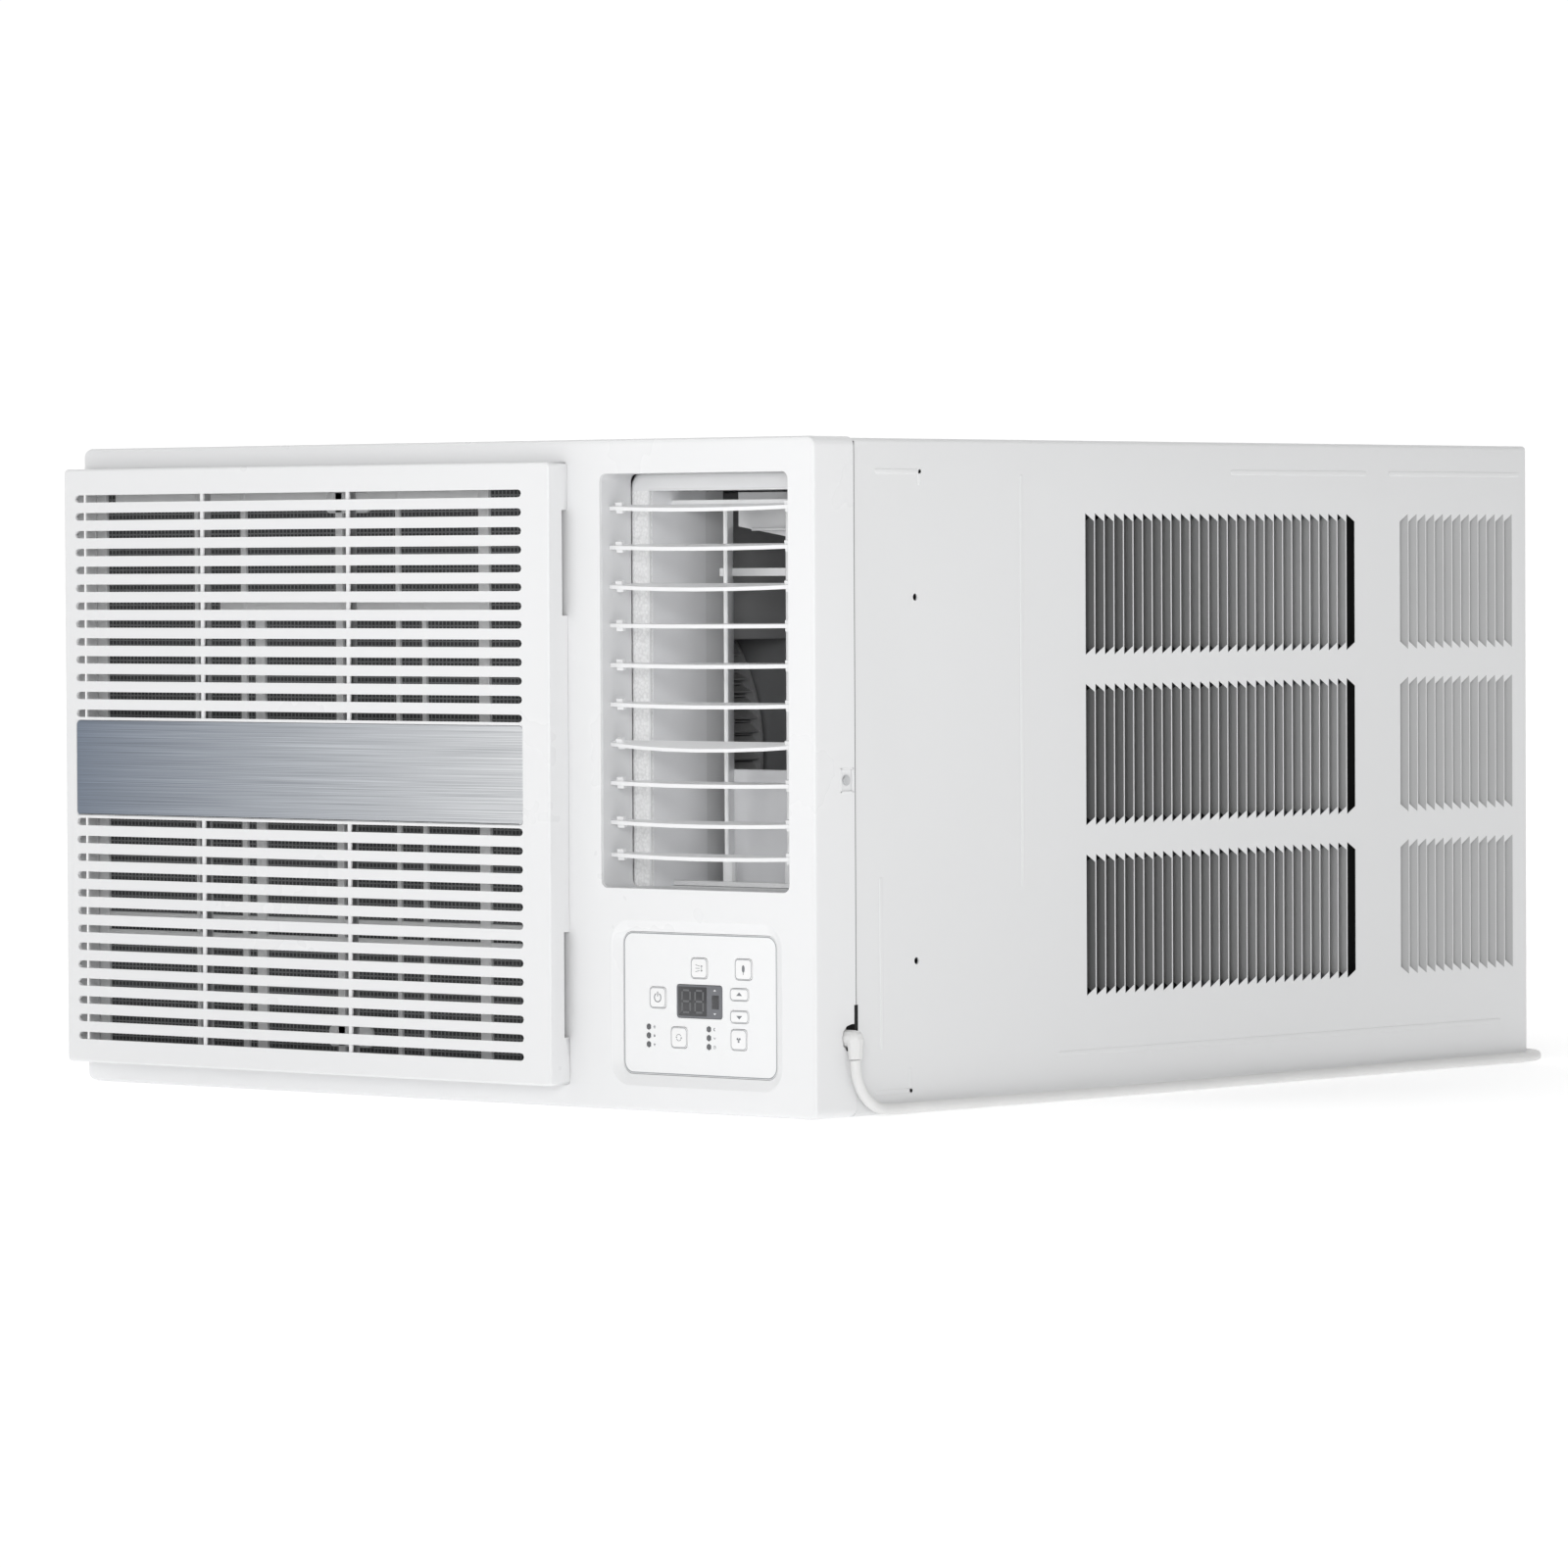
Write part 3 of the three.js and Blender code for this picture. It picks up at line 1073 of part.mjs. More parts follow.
function fanMotor() {
  const rear = MOTOR_FRONT + MOTOR_LENGTH;
  const bore = SHAFT_RADIUS + PIVOT_CLEARANCE;
  const profile = [
    [bore, MOTOR_FRONT], [MOTOR_BOSS_RADIUS, MOTOR_FRONT], [MOTOR_BOSS_RADIUS, MOTOR_FRONT + 10],
    [MOTOR_RADIUS - 8, MOTOR_FRONT + 14], [MOTOR_RADIUS, MOTOR_FRONT + 24], [MOTOR_RADIUS, rear - 24],
    [MOTOR_RADIUS - 8, rear - 14], [MOTOR_BOSS_RADIUS, rear - 10], [MOTOR_BOSS_RADIUS, rear],
    [bore, rear], [bore, MOTOR_FRONT],
  ].map(([r, y]) => new THREE.Vector2(r, y));
  const geometry = new THREE.LatheGeometry(profile, 18);
  geometry.translate(SHAFT_X, 0, SHAFT_Z);
  return solidOf(geometry);
}

// A sheet stand on the pan whose top is hollowed to the motor's round body.
function motorStand() {
  const [y0, y1] = [MOTOR_FRONT + 30, MOTOR_FRONT + MOTOR_LENGTH - 30];
  const half = MOTOR_RADIUS - 12;
  const stand = block(SHAFT_X - half, SHAFT_X + half, y0, y1, coilBottom, SHAFT_Z - 20);
  return stand.subtract(join([
    rodY(SHAFT_X, SHAFT_Z, MOTOR_RADIUS + STAND_CLEARANCE, y0 - 1, y1 + 1, 24),
    block(SHAFT_X - half + 3, SHAFT_X + half - 3, y0 - 1, y1 + 1, coilBottom + 3, SHAFT_Z - MOTOR_RADIUS - 6),
  ]));
}

function bulkhead() {
  const sheet = block(LEFT + 10, RIGHT - 10, BULKHEAD_Y, BULKHEAD_Y + BULKHEAD_SHEET, coilBottom, coilTop);
  return sheet.subtract(join([
    rodY(SHAFT_X, SHAFT_Z, BULKHEAD_HOLE_RADIUS, BULKHEAD_Y - 1, BULKHEAD_Y + BULKHEAD_SHEET + 1, 16),
    block(
      PIPE_GAP_X - PIPE_GAP_WIDTH / 2, PIPE_GAP_X + PIPE_GAP_WIDTH / 2,
      BULKHEAD_Y - 1, BULKHEAD_Y + BULKHEAD_SHEET + 1, PIPE_GAP_BOTTOM, PIPE_GAP_TOP,
    ),
  ]));
}

part('blower_scroll', blowerScroll(), 'greyPlastic');
part('blower_wheel', blowerWheel(), 'blackPlastic');
part('fan_shaft', fanShaft(), 'steel');
part('fan_motor', fanMotor(), 'galvanised');
part('motor_stand', motorStand(), 'galvanised');
part('bulkhead', bulkhead(), 'galvanised');

// ---- Outdoor side ----

const fanMiddleY = shroudY - 22;

function condenserFan() {
  const blades = [];
  const length = FAN_RADIUS - FAN_HUB_RADIUS + 4;
  for (let i = 0; i < FAN_BLADES; i += 1) {
    const blade = new THREE.BoxGeometry(length, FAN_BLADE_THICKNESS, FAN_BLADE_CHORD);
    blade.rotateX(degrees(FAN_BLADE_TURN));
    blade.translate(FAN_HUB_RADIUS - 4 + length / 2, 0, 0);
    blade.rotateY((2 * Math.PI * i) / FAN_BLADES);
    blade.translate(SHAFT_X, fanMiddleY, SHAFT_Z);
    blades.push(solidOf(blade));
  }
  const tip = rodY(SHAFT_X, SHAFT_Z, FAN_RADIUS, fanMiddleY - 60, fanMiddleY + 60, 36);
  const hub = rodY(SHAFT_X, SHAFT_Z, FAN_HUB_RADIUS, fanMiddleY - 14, fanMiddleY + 14, 20);
  const bore = rodY(SHAFT_X, SHAFT_Z, SHAFT_RADIUS + TOUCH, fanMiddleY - 20, fanMiddleY + 20, 12);
  return join(blades).intersect(tip).add(hub).subtract(bore);
}

function fanShroud() {
  const radius = FAN_RADIUS + 6;
  const ring = rodY(SHAFT_X, SHAFT_Z, radius + SHROUD_RING_WALL, shroudY - SHROUD_LIP, shroudY + JOIN, 36);
  const plate = block(LEFT + 15, RIGHT - 75, shroudY, shroudY + SHROUD_SHEET, coilBottom, coilTop);
  return plate.add(ring).subtract(rodY(SHAFT_X, SHAFT_Z, radius, shroudY - SHROUD_LIP - 1, shroudY + 5, 36));
}

const footAngles = [90, 210, 330];

function footPlace(angle) {
  return [
    COMPRESSOR_X + FOOT_CIRCLE * Math.cos(degrees(angle)),
    COMPRESSOR_Y + FOOT_CIRCLE * Math.sin(degrees(angle)),
  ];
}

function compressor() {
  const profile = [
    [0, COMPRESSOR_BASE], [COMPRESSOR_RADIUS - 4, COMPRESSOR_BASE], [COMPRESSOR_RADIUS, COMPRESSOR_BASE + 10],
    [COMPRESSOR_RADIUS, COMPRESSOR_TOP - 40], [COMPRESSOR_RADIUS - 10, COMPRESSOR_TOP - 16],
    [COMPRESSOR_RADIUS - 32, COMPRESSOR_TOP - 3], [0, COMPRESSOR_TOP],
  ].map(([r, z]) => new THREE.Vector2(r, z));
  const shell = new THREE.LatheGeometry(profile, 20);
  shell.rotateX(Math.PI / 2);
  shell.translate(COMPRESSOR_X, COMPRESSOR_Y, 0);
  const ears = footAngles.map((angle) => {
    const ear = new THREE.BoxGeometry(FOOT_CIRCLE + 14, 34, 3.5);
    ear.translate((FOOT_CIRCLE + 14) / 2, 0, COMPRESSOR_BASE + 1.75);
    ear.rotateZ(degrees(angle));
    ear.translate(COMPRESSOR_X, COMPRESSOR_Y, 0);
    return solidOf(ear);
  });
  return join([solidOf(shell), ...ears]);
}

const accumulatorX = COMPRESSOR_X - COMPRESSOR_RADIUS - ACCUMULATOR_RADIUS - 10;
const accumulatorBottom = 60;
const accumulatorTop = accumulatorBottom + ACCUMULATOR_LENGTH;

function accumulator() {
  const profile = [
    [0, accumulatorBottom], [8, accumulatorBottom], [ACCUMULATOR_RADIUS, accumulatorBottom + 16],
    [ACCUMULATOR_RADIUS, accumulatorTop - 16], [8, accumulatorTop], [0, accumulatorTop],
  ].map(([r, z]) => new THREE.Vector2(r, z));
  const geometry = new THREE.LatheGeometry(profile, 14);
  geometry.rotateX(Math.PI / 2);
  geometry.translate(accumulatorX, COMPRESSOR_Y, 0);
  const strapEnd = COMPRESSOR_X - COMPRESSOR_RADIUS - TOUCH;
  return solidOf(geometry).add(block(
    accumulatorX, strapEnd, COMPRESSOR_Y - 5, COMPRESSOR_Y + 5, accumulatorTop - 50, accumulatorTop - 34,
  ));
}

part('condenser_fan', condenserFan(), 'blackPlastic');
part('fan_shroud', fanShroud(), 'galvanised');
part('compressor', compressor(), 'blackPaint');
footAngles.forEach((angle, i) => {
  const foot = rodZ(0, 0, FOOT_RADIUS, coilBottom, COMPRESSOR_BASE - TOUCH, 14);
  part(`compressor_foot_${i + 1}`, foot, 'rubber', [...footPlace(angle), 0]);
});
part('accumulator', accumulator(), 'blackPaint');

// ---- Refrigerant pipes, each from one fitting to the next ----

const coilFace = evaporatorRight + COIL_END_PLATE + TOUCH;
const coilMiddleY = evaporatorFront + EVAPORATOR_DEPTH / 2;
const pipeX = CONTROL_LEFT - 10 - 20;

const suctionRoute = [
  [coilFace + 0.5, coilMiddleY, 62],
  [coilFace + 6, coilMiddleY, 62],
  [pipeX - 6, coilMiddleY + 6, 62],
  [pipeX, coilMiddleY + 24, 60],
  [pipeX, SCROLL_FRONT + 60, 60],
  [PIPE_GAP_X - 8, BULKHEAD_Y, 60],
  [PIPE_GAP_X - 8, BULKHEAD_Y + 40, 62],
  [accumulatorX, COMPRESSOR_Y - 100, 90],
  [accumulatorX, COMPRESSOR_Y - 62, 180],
  [accumulatorX, COMPRESSOR_Y - 50, accumulatorTop],
  [accumulatorX, COMPRESSOR_Y - 26, accumulatorTop + 30],
  [accumulatorX, COMPRESSOR_Y - 2, accumulatorTop + 22],
  [accumulatorX, COMPRESSOR_Y, accumulatorTop + 8],
  [accumulatorX, COMPRESSOR_Y, accumulatorTop + 0.5],
];

const dischargeRoute = [
  [COMPRESSOR_X, COMPRESSOR_Y, COMPRESSOR_TOP + TOUCH],
  [COMPRESSOR_X, COMPRESSOR_Y + 2, COMPRESSOR_TOP + 24],
  [COMPRESSOR_X + 16, COMPRESSOR_Y + 30, COMPRESSOR_TOP + 46],
  [RIGHT - 46, COMPRESSOR_Y + 90, COMPRESSOR_TOP + 50],
  [RIGHT - 44, condenserFront - 60, COMPRESSOR_TOP + 50],
  [RIGHT - 44, condenserFront - 8, COMPRESSOR_TOP + 50],
  [RIGHT - 44, condenserFront + 0.5, COMPRESSOR_TOP + 50],
];

const liquidRoute = [
  [RIGHT - 34, condenserFront + 0.5, 70],
  [RIGHT - 34, condenserFront - 8, 70],
  [RIGHT - 24, condenserFront - 50, 54],
  [RIGHT - 22, COMPRESSOR_Y, 46],
  [RIGHT - 26, COMPRESSOR_Y - 130, 46],
  [PIPE_GAP_X + 70, BULKHEAD_Y + 26, 46],
  [PIPE_GAP_X + 14, BULKHEAD_Y + 12, 46],
  [PIPE_GAP_X + 6, BULKHEAD_Y - 14, 46],
  [pipeX + 12, SCROLL_FRONT + 60, 44],
  [pipeX + 10, coilMiddleY + 34, 42],
  [pipeX - 2, coilMiddleY + 7, 40],
  [coilFace + 6, coilMiddleY, 40],
  [coilFace + 0.5, coilMiddleY, 40],
];

part('suction_pipe', tube(suctionRoute, SUCTION_RADIUS, 8, 26), 'copper');
part('discharge_pipe', tube(dischargeRoute, DISCHARGE_RADIUS, 8, 24), 'copper');
part('liquid_line', tube(liquidRoute, LINE_RADIUS, 8, 34), 'copper');

// ---- Mains cord ----

function strainRelief() {
  const wallInside = RIGHT - BEZEL_WALL - TOUCH;
  const flange = rodX(CORD_Y, NOTCH_Z, RELIEF_FLANGE_RADIUS, wallInside - RELIEF_FLANGE, wallInside, 10);
  const stub = rodX(CORD_Y, NOTCH_Z, RELIEF_RADIUS, RIGHT - BEZEL_WALL - RELIEF_STUB, CORD_X, 10);
  const elbow = new THREE.SphereGeometry(RELIEF_RADIUS, 10, 6);
  elbow.translate(CORD_X, CORD_Y, NOTCH_Z);
  const tail = rodZ(CORD_X, CORD_Y, RELIEF_TIP_RADIUS, NOTCH_Z - RELIEF_DROP, NOTCH_Z, 10, RELIEF_RADIUS);
  return join([flange, stub, solidOf(elbow), tail]);
}

const cordTop = NOTCH_Z - RELIEF_DROP - TOUCH;
const floorZ = CORD_DIAMETER / 2 + FLOOR_GAP;
const coilOuter = COIL_MEAN_RADIUS + COIL_SECTION / 2;
const outerTurn = COIL_MEAN_RADIUS + CORD_DIAMETER / 2;
const meetDistance = Math.sqrt((coilOuter + CORD_DIAMETER / 2 + TOUCH) ** 2 - outerTurn ** 2);
const laneY = COIL_Y - outerTurn;

// Down from the strain relief, round onto the floor, back along the sleeve, round its corner and to the coil.
const cordRoute = [
  [CORD_X, CORD_Y, cordTop],
  [CORD_X, CORD_Y, 33],
  [CORD_X, CORD_Y + 2.6, 21],
  [CORD_X, CORD_Y + 9, 11.6],
  [CORD_X, CORD_Y + 18.5, 5.6],
  [CORD_X, CORD_Y + 31, floorZ],
  [CORD_X + 0.5, CORD_Y + 60, floorZ],
  [CORD_X + 3, CORD_Y + 150, floorZ],
  [CORD_X + 4, CORD_Y + 300, floorZ],
  [CORD_X + 2, CORD_Y + 450, floorZ],
  [CORD_X + 1, CORD_Y + 600, floorZ],
  [CORD_X + 1.5, CORD_Y + 690, floorZ],
  [CORD_X + 1, CORD_Y + 714, floorZ],
  [CORD_X - 4, laneY - 17.5, floorZ],
  [CORD_X - 14.5, laneY - 6.5, floorZ],
  [CORD_X - 29, laneY - 0.8, floorZ],
  [CORD_X - 48, laneY, floorZ],
  [CORD_X - 80, laneY, floorZ],
  [COIL_X + meetDistance, laneY, floorZ],
];

function cordCoil() {
  const [inner, outer] = [COIL_MEAN_RADIUS - COIL_SECTION / 2, coilOuter];
  const [low, high] = [0.1, COIL_SECTION];
  const corner = 3;
  const profile = [
    [inner, low + corner], [inner + corner, low], [outer - corner, low], [outer, low + corner],
    [outer, high - corner], [outer - corner, high], [inner + corner, high], [inner, high - corner],
    [inner, low + corner],
  ].map(([r, z]) => new THREE.Vector2(r, z));
  const geometry = new THREE.LatheGeometry(profile, 24);
  geometry.rotateX(Math.PI / 2);
  return solidOf(geometry);
}

// Three-pin plug lying flat, with its neck towards +X and its pins towards -X.
function plug() {
  const z = PLUG_THICKNESS / 2;
  const outline = roundedRectangle(-PLUG_LENGTH, 0, -PLUG_HALF_WIDTH, PLUG_HALF_WIDTH, 8);
  return join([
    alongZ(outline, 0.1, PLUG_THICKNESS, 3),
    rodX(0, z, PLUG_NECK_RADIUS, -2, PLUG_NECK_LENGTH, 12),
    rodX(0, z + 5.5, 4, -PLUG_LENGTH - 26, -PLUG_LENGTH + 2, 10),
    rodX(-12, z - 4.5, 3.2, -PLUG_LENGTH - 20, -PLUG_LENGTH + 2, 10),
    rodX(12, z - 4.5, 3.2, -PLUG_LENGTH - 20, -PLUG_LENGTH + 2, 10),
  ]);
}

const plugMeet = Math.sqrt((coilOuter + PLUG_NECK_RADIUS + TOUCH) ** 2 - outerTurn ** 2);
part('strain_relief', strainRelief(), 'cordWhite');
part('mains_cord', tube(cordRoute, CORD_DIAMETER / 2, CORD_SIDES, CORD_STEP), 'cordWhite');
part('cord_coil', cordCoil(), 'cordWhite', [COIL_X, COIL_Y, 0]);
part('plug', plug(), 'cordWhite', [COIL_X - plugMeet - PLUG_NECK_LENGTH, laneY, 0]);

export default airConditioner;
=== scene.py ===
"""Window air conditioner: its visual model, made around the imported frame.

Metres, +Z up. The origin is at the middle of the base, the front faces -Y and +X is the right side.
"""

import math

import bmesh
import bpy
from mathutils import Matrix, Vector


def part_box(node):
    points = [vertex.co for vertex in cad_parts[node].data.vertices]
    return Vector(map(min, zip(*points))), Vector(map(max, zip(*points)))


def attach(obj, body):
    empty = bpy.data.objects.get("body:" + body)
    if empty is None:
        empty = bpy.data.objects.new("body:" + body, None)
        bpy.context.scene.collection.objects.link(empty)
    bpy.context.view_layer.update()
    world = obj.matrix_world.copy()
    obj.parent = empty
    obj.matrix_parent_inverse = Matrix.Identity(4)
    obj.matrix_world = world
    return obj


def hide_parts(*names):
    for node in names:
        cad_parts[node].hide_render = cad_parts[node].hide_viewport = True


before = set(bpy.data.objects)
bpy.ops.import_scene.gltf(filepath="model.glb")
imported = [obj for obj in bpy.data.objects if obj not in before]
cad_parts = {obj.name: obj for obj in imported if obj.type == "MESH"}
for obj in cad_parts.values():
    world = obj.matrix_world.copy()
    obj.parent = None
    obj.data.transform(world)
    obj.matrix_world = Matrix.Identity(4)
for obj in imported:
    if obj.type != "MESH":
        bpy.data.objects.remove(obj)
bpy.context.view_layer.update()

bl_info = {
    "name": "Window Air Conditioner",
    "version": (1, 0, 0),
    "blender": (4, 5, 0),
    "location": "View3D > Sidebar > Air Conditioner",
    "description": "Makes the shells, vents, controls, coils, cord and studio of a window air conditioner",
    "category": "Add Mesh",
}

MM = 0.001
X, Y, Z = 0, 1, 2
UP = Vector((0, 0, 1))
SMOOTH_ANGLE = math.radians(38)
BEVEL_ANGLE = math.radians(28)
FLAT_ANGLE = math.radians(1)
PARALLEL = 0.99
SAME_PLACE = 1e-6
NO_LENGTH = 1e-7
FULL_TURN = 2 * math.pi
UPRIGHT = math.pi / 2
BEZEL_STEP = 4 * MM


# ---- Places read from the frame ----


def low(node):
    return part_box(node)[0]


def high(node):
    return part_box(node)[1]


def middle(node):
    return (low(node) + high(node)) / 2


# ---- Meshes ----


def bezel_face():
    """The Y of the front moulding's flat face."""
    return low("control_panel").y - BEZEL_STEP


def absorb(target, source, turn=None):
    """Adds one bmesh to another, turned or moved by a matrix, and frees it."""
    if turn is not None:
        bmesh.ops.transform(source, matrix=turn, verts=source.verts)
    step = bpy.data.meshes.new("step")
    source.to_mesh(step)
    source.free()
    target.from_mesh(step)
    bpy.data.meshes.remove(step)


def box(low_corner, high_corner):
    mesh = bmesh.new()
    bmesh.ops.create_cube(mesh, size=1)
    low_corner, high_corner = Vector(low_corner), Vector(high_corner)
    bmesh.ops.scale(mesh, vec=high_corner - low_corner, verts=mesh.verts)
    bmesh.ops.translate(mesh, vec=(low_corner + high_corner) / 2, verts=mesh.verts)
    return mesh


def round_edges(mesh, edges, width, segments):
    bmesh.ops.bevel(
        mesh, geom=edges, offset=width, offset_type="OFFSET", affect="EDGES", segments=segments,
        profile=0.5, material=-1, clamp_overlap=True,
    )


def runs_along(edge, axis):
    step = edge.verts[0].co - edge.verts[1].co
    return abs(step[axis]) > PARALLEL * step.length


def rounded_box(low_corner, high_corner, axis, radius, segments=6, rim=0.0, rim_segments=2):
    """A box whose corners are round about one axis, and whose two end rims are eased."""
    mesh = box(low_corner, high_corner)
    round_edges(mesh, [e for e in mesh.edges if runs_along(e, axis)], radius, segments)
    if rim:
        ends = {f for f in mesh.faces if abs(f.normal[axis]) > PARALLEL}
        rims = [e for e in mesh.edges if len(ends.intersection(e.link_faces)) == 1]
        round_edges(mesh, rims, rim, rim_segments)
    return mesh


def rims(x0, x1, z0, z1, width, first):
    """The four sides of a frame as (low, high, low, high) rows; the first may have its own width."""
    return (
        (x0, x0 + first, z0, z1), (x1 - width, x1, z0, z1), (x0, x1, z0, z0 + width), (x0, x1, z1 - width, z1),
    )


def rod(start, stop, radius, sides=16, tip=None):
    """A round bar from one point to another."""
    start, stop = Vector(start), Vector(stop)
    mesh = bmesh.new()
    bmesh.ops.create_cone(
        mesh, cap_ends=True, cap_tris=False, segments=sides, radius1=radius,
        radius2=radius if tip is None else tip, depth=(stop - start).length,
    )
    turn = (stop - start).to_track_quat("Z", "Y").to_matrix().to_4x4()
    bmesh.ops.transform(mesh, matrix=Matrix.Translation((start + stop) / 2) @ turn, verts=mesh.verts)
    return mesh


def lathe(profile, centre, axis, steps):
    """A closed outline of (radius, distance along the axis) points, spun about the axis."""
    mesh = bmesh.new()
    side = Vector((1, 0, 0)) if axis != X else Vector((0, 0, 1))
    ahead = Vector((0, 0, 0))
    ahead[axis] = 1
    centre = Vector(centre)
    corners = [mesh.verts.new(centre + side * r + ahead * d) for r, d in profile]
    edges = [mesh.edges.new((a, b)) for a, b in zip(corners, corners[1:] + corners[:1])]
    bmesh.ops.spin(
        mesh, geom=edges + corners, cent=centre, axis=ahead, dvec=(0, 0, 0), angle=FULL_TURN, steps=steps,
        use_merge=True, use_normal_flip=False, use_duplicate=False,
    )
    bmesh.ops.remove_doubles(mesh, verts=mesh.verts, dist=SAME_PLACE)
    bmesh.ops.dissolve_degenerate(mesh, dist=NO_LENGTH, edges=mesh.edges)
    bmesh.ops.recalc_face_normals(mesh, faces=mesh.faces)
    return mesh


def shade(mesh):
    mesh.shade_smooth()
    mesh.set_sharp_from_angle(angle=SMOOTH_ANGLE)


def placed(name, mesh, finish, stands_for=(), body="chassis"):
    """A finished bmesh as a named object that rides on a body."""
    data = bpy.data.meshes.new(name)
    mesh.to_mesh(data)
    mesh.free()
    data.materials.append(FINISHES[finish])
    made = bpy.data.objects.new(name, data)
    bpy.context.scene.collection.objects.link(made)
    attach(made, body)
    if stands_for:
        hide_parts(*stands_for)
    return made


def piece(name, mesh, finish, stands_for=(), body="chassis", even=False):
    """A new piece with smooth faces and sharp edges; even shading keeps its large faces flat."""
    made = placed(name, mesh, finish, stands_for, body)
    made.data.shade_smooth()
    made.data.set_sharp_from_angle(angle=SMOOTH_ANGLE)
    if even:
        made.modifiers.new("even", "WEIGHTED_NORMAL").keep_sharp = True
    return made


def merged_copy(node, whole=True):
    """A CAD node's mesh with its corners merged, and its flat faces made whole where that is asked for."""
    mesh = bmesh.new()
    mesh.from_mesh(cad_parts[node].data)
    for layer in list(mesh.loops.layers.uv):
        mesh.loops.layers.uv.remove(layer)
    bmesh.ops.remove_doubles(mesh, verts=mesh.verts, dist=2 * SAME_PLACE)
    bmesh.ops.dissolve_degenerate(mesh, dist=SAME_PLACE, edges=mesh.edges)
    if whole:
        bmesh.ops.dissolve_limit(mesh, angle_limit=FLAT_ANGLE, verts=mesh.verts, edges=mesh.edges)
    for face in mesh.faces:
        face.material_index = 0
    return mesh


def ease(made, width, segments=2):
    """Rounds the sharp edges of a piece and evens its shading."""
    bevel = made.modifiers.new("ease", "BEVEL")
    bevel.width = width
    bevel.segments = segments
    bevel.limit_method = "ANGLE"
    bevel.angle_limit = BEVEL_ANGLE
    bevel.miter_outer = "MITER_ARC"
    made.modifiers.new("even", "WEIGHTED_NORMAL")
    for polygon in made.data.polygons:
        polygon.use_smooth = True
    if "sharp_edge" in made.data.attributes:
        made.data.attributes.remove(made.data.attributes["sharp_edge"])
    return made


def softened(node, name, finish, width, segments=2, body="chassis"):
    """A CAD node's own shape with eased edges, standing for it."""
    made = placed(name, merged_copy(node), finish, [node], body)
    for layer in ("custom_normal", "material_index"):
        if layer in made.data.attributes:
            made.data.attributes.remove(made.data.attributes[layer])
    return ease(made, width, segments)


def cut(base, cutters):
    """Takes the cutters out of a base mesh, and gives the result as a new bmesh."""
    objects = []
    for label, mesh in (("base", base), ("cutters", cutters)):
        data = bpy.data.meshes.new(label)
        mesh.to_mesh(data)
        mesh.free()
        made = bpy.data.objects.new(label, data)
        bpy.context.scene.collection.objects.link(made)
        objects.append(made)
    boolean = objects[0].modifiers.new("cut", "BOOLEAN")
    boolean.operation = "DIFFERENCE"
    boolean.solver = "EXACT"
    boolean.object = objects[1]
    graph = bpy.context.evaluated_depsgraph_get()
    graph.update()
    whole = bmesh.new()
    whole.from_mesh(objects[0].evaluated_get(graph).data)
    for made in objects:
        data = made.data
        bpy.data.objects.remove(made)
        bpy.data.meshes.remove(data)
    if not whole.faces:
        raise RuntimeError("a cut left nothing of its base")
    return whole


# ---- Shader nodes ----


def fill(tree, node, inputs):
    """Sets a node's inputs to values, or joins them to sockets."""
    for key, value in inputs.items():
        if isinstance(value, bpy.types.NodeSocket):
            tree.links.new(value, node.inputs[key])
        else:
            node.inputs[key].default_value = value


def add(tree, kind, inputs=None, **settings):
    """A node with its settings and inputs."""
    node = tree.nodes.new(kind)
    for key, value in settings.items():
        setattr(node, key, value)
    fill(tree, node, inputs or {})
    return node


def place_on(tree):
    """The place on the object, in metres."""
    return add(tree, "ShaderNodeTexCoord").outputs["Object"]


def split(tree, vector):
    return add(tree, "ShaderNodeSeparateXYZ", {0: vector}).outputs


def mix_colours(tree, mask, first, second):
    """The first colour where the mask is 0 and the second where it is 1."""
    node = add(tree, "ShaderNodeMix", {0: mask, 6: first, 7: second}, data_type="RGBA")
    return node.outputs[2]


def remap(tree, value, to_low, to_high, from_low=0.0, from_high=1.0):
    node = add(
        tree, "ShaderNodeMapRange",
        {"Value": value, "From Min": from_low, "From Max": from_high, "To Min": to_low, "To Max": to_high},
    )
    return node.outputs["Result"]


def calculate(tree, operation, first, second):
    return add(tree, "ShaderNodeMath", {0: first, 1: second}, operation=operation).outputs[0]


def new_group(name, inputs, outputs):
    """An empty shader group with float inputs, given as name and default, and float outputs."""
    tree = bpy.data.node_groups.new(name, "ShaderNodeTree")
    for label, default in inputs:
        socket = tree.interface.new_socket(name=label, in_out="INPUT", socket_type="NodeSocketFloat")
        socket.default_value = default
    for label in outputs:
        tree.interface.new_socket(name=label, in_out="OUTPUT", socket_type="NodeSocketFloat")
    return tree, tree.nodes.new("NodeGroupInput").outputs, tree.nodes.new("NodeGroupOutput").inputs


def grain_group():
    """Slow clouds in the colour and a fine pebbled height, as on moulded plastic."""
    tree, given, result = new_group("moulded_grain", [("Cloud", 9.0), ("Pebble", 1800.0)], ["Mask", "Height"])
    where = place_on(tree)
    cloud = add(tree, "ShaderNodeTexNoise", {"Vector": where, "Scale": given["Cloud"], "Detail": 4.0})
    pebble = add(tree, "ShaderNodeTexNoise", {"Vector": where, "Scale": given["Pebble"], "Detail": 2.0})
    tree.links.new(remap(tree, cloud.outputs[0], 0.0, 1.0, 0.3, 0.7), result["Mask"])
    tree.links.new(pebble.outputs[0], result["Height"])
    return tree


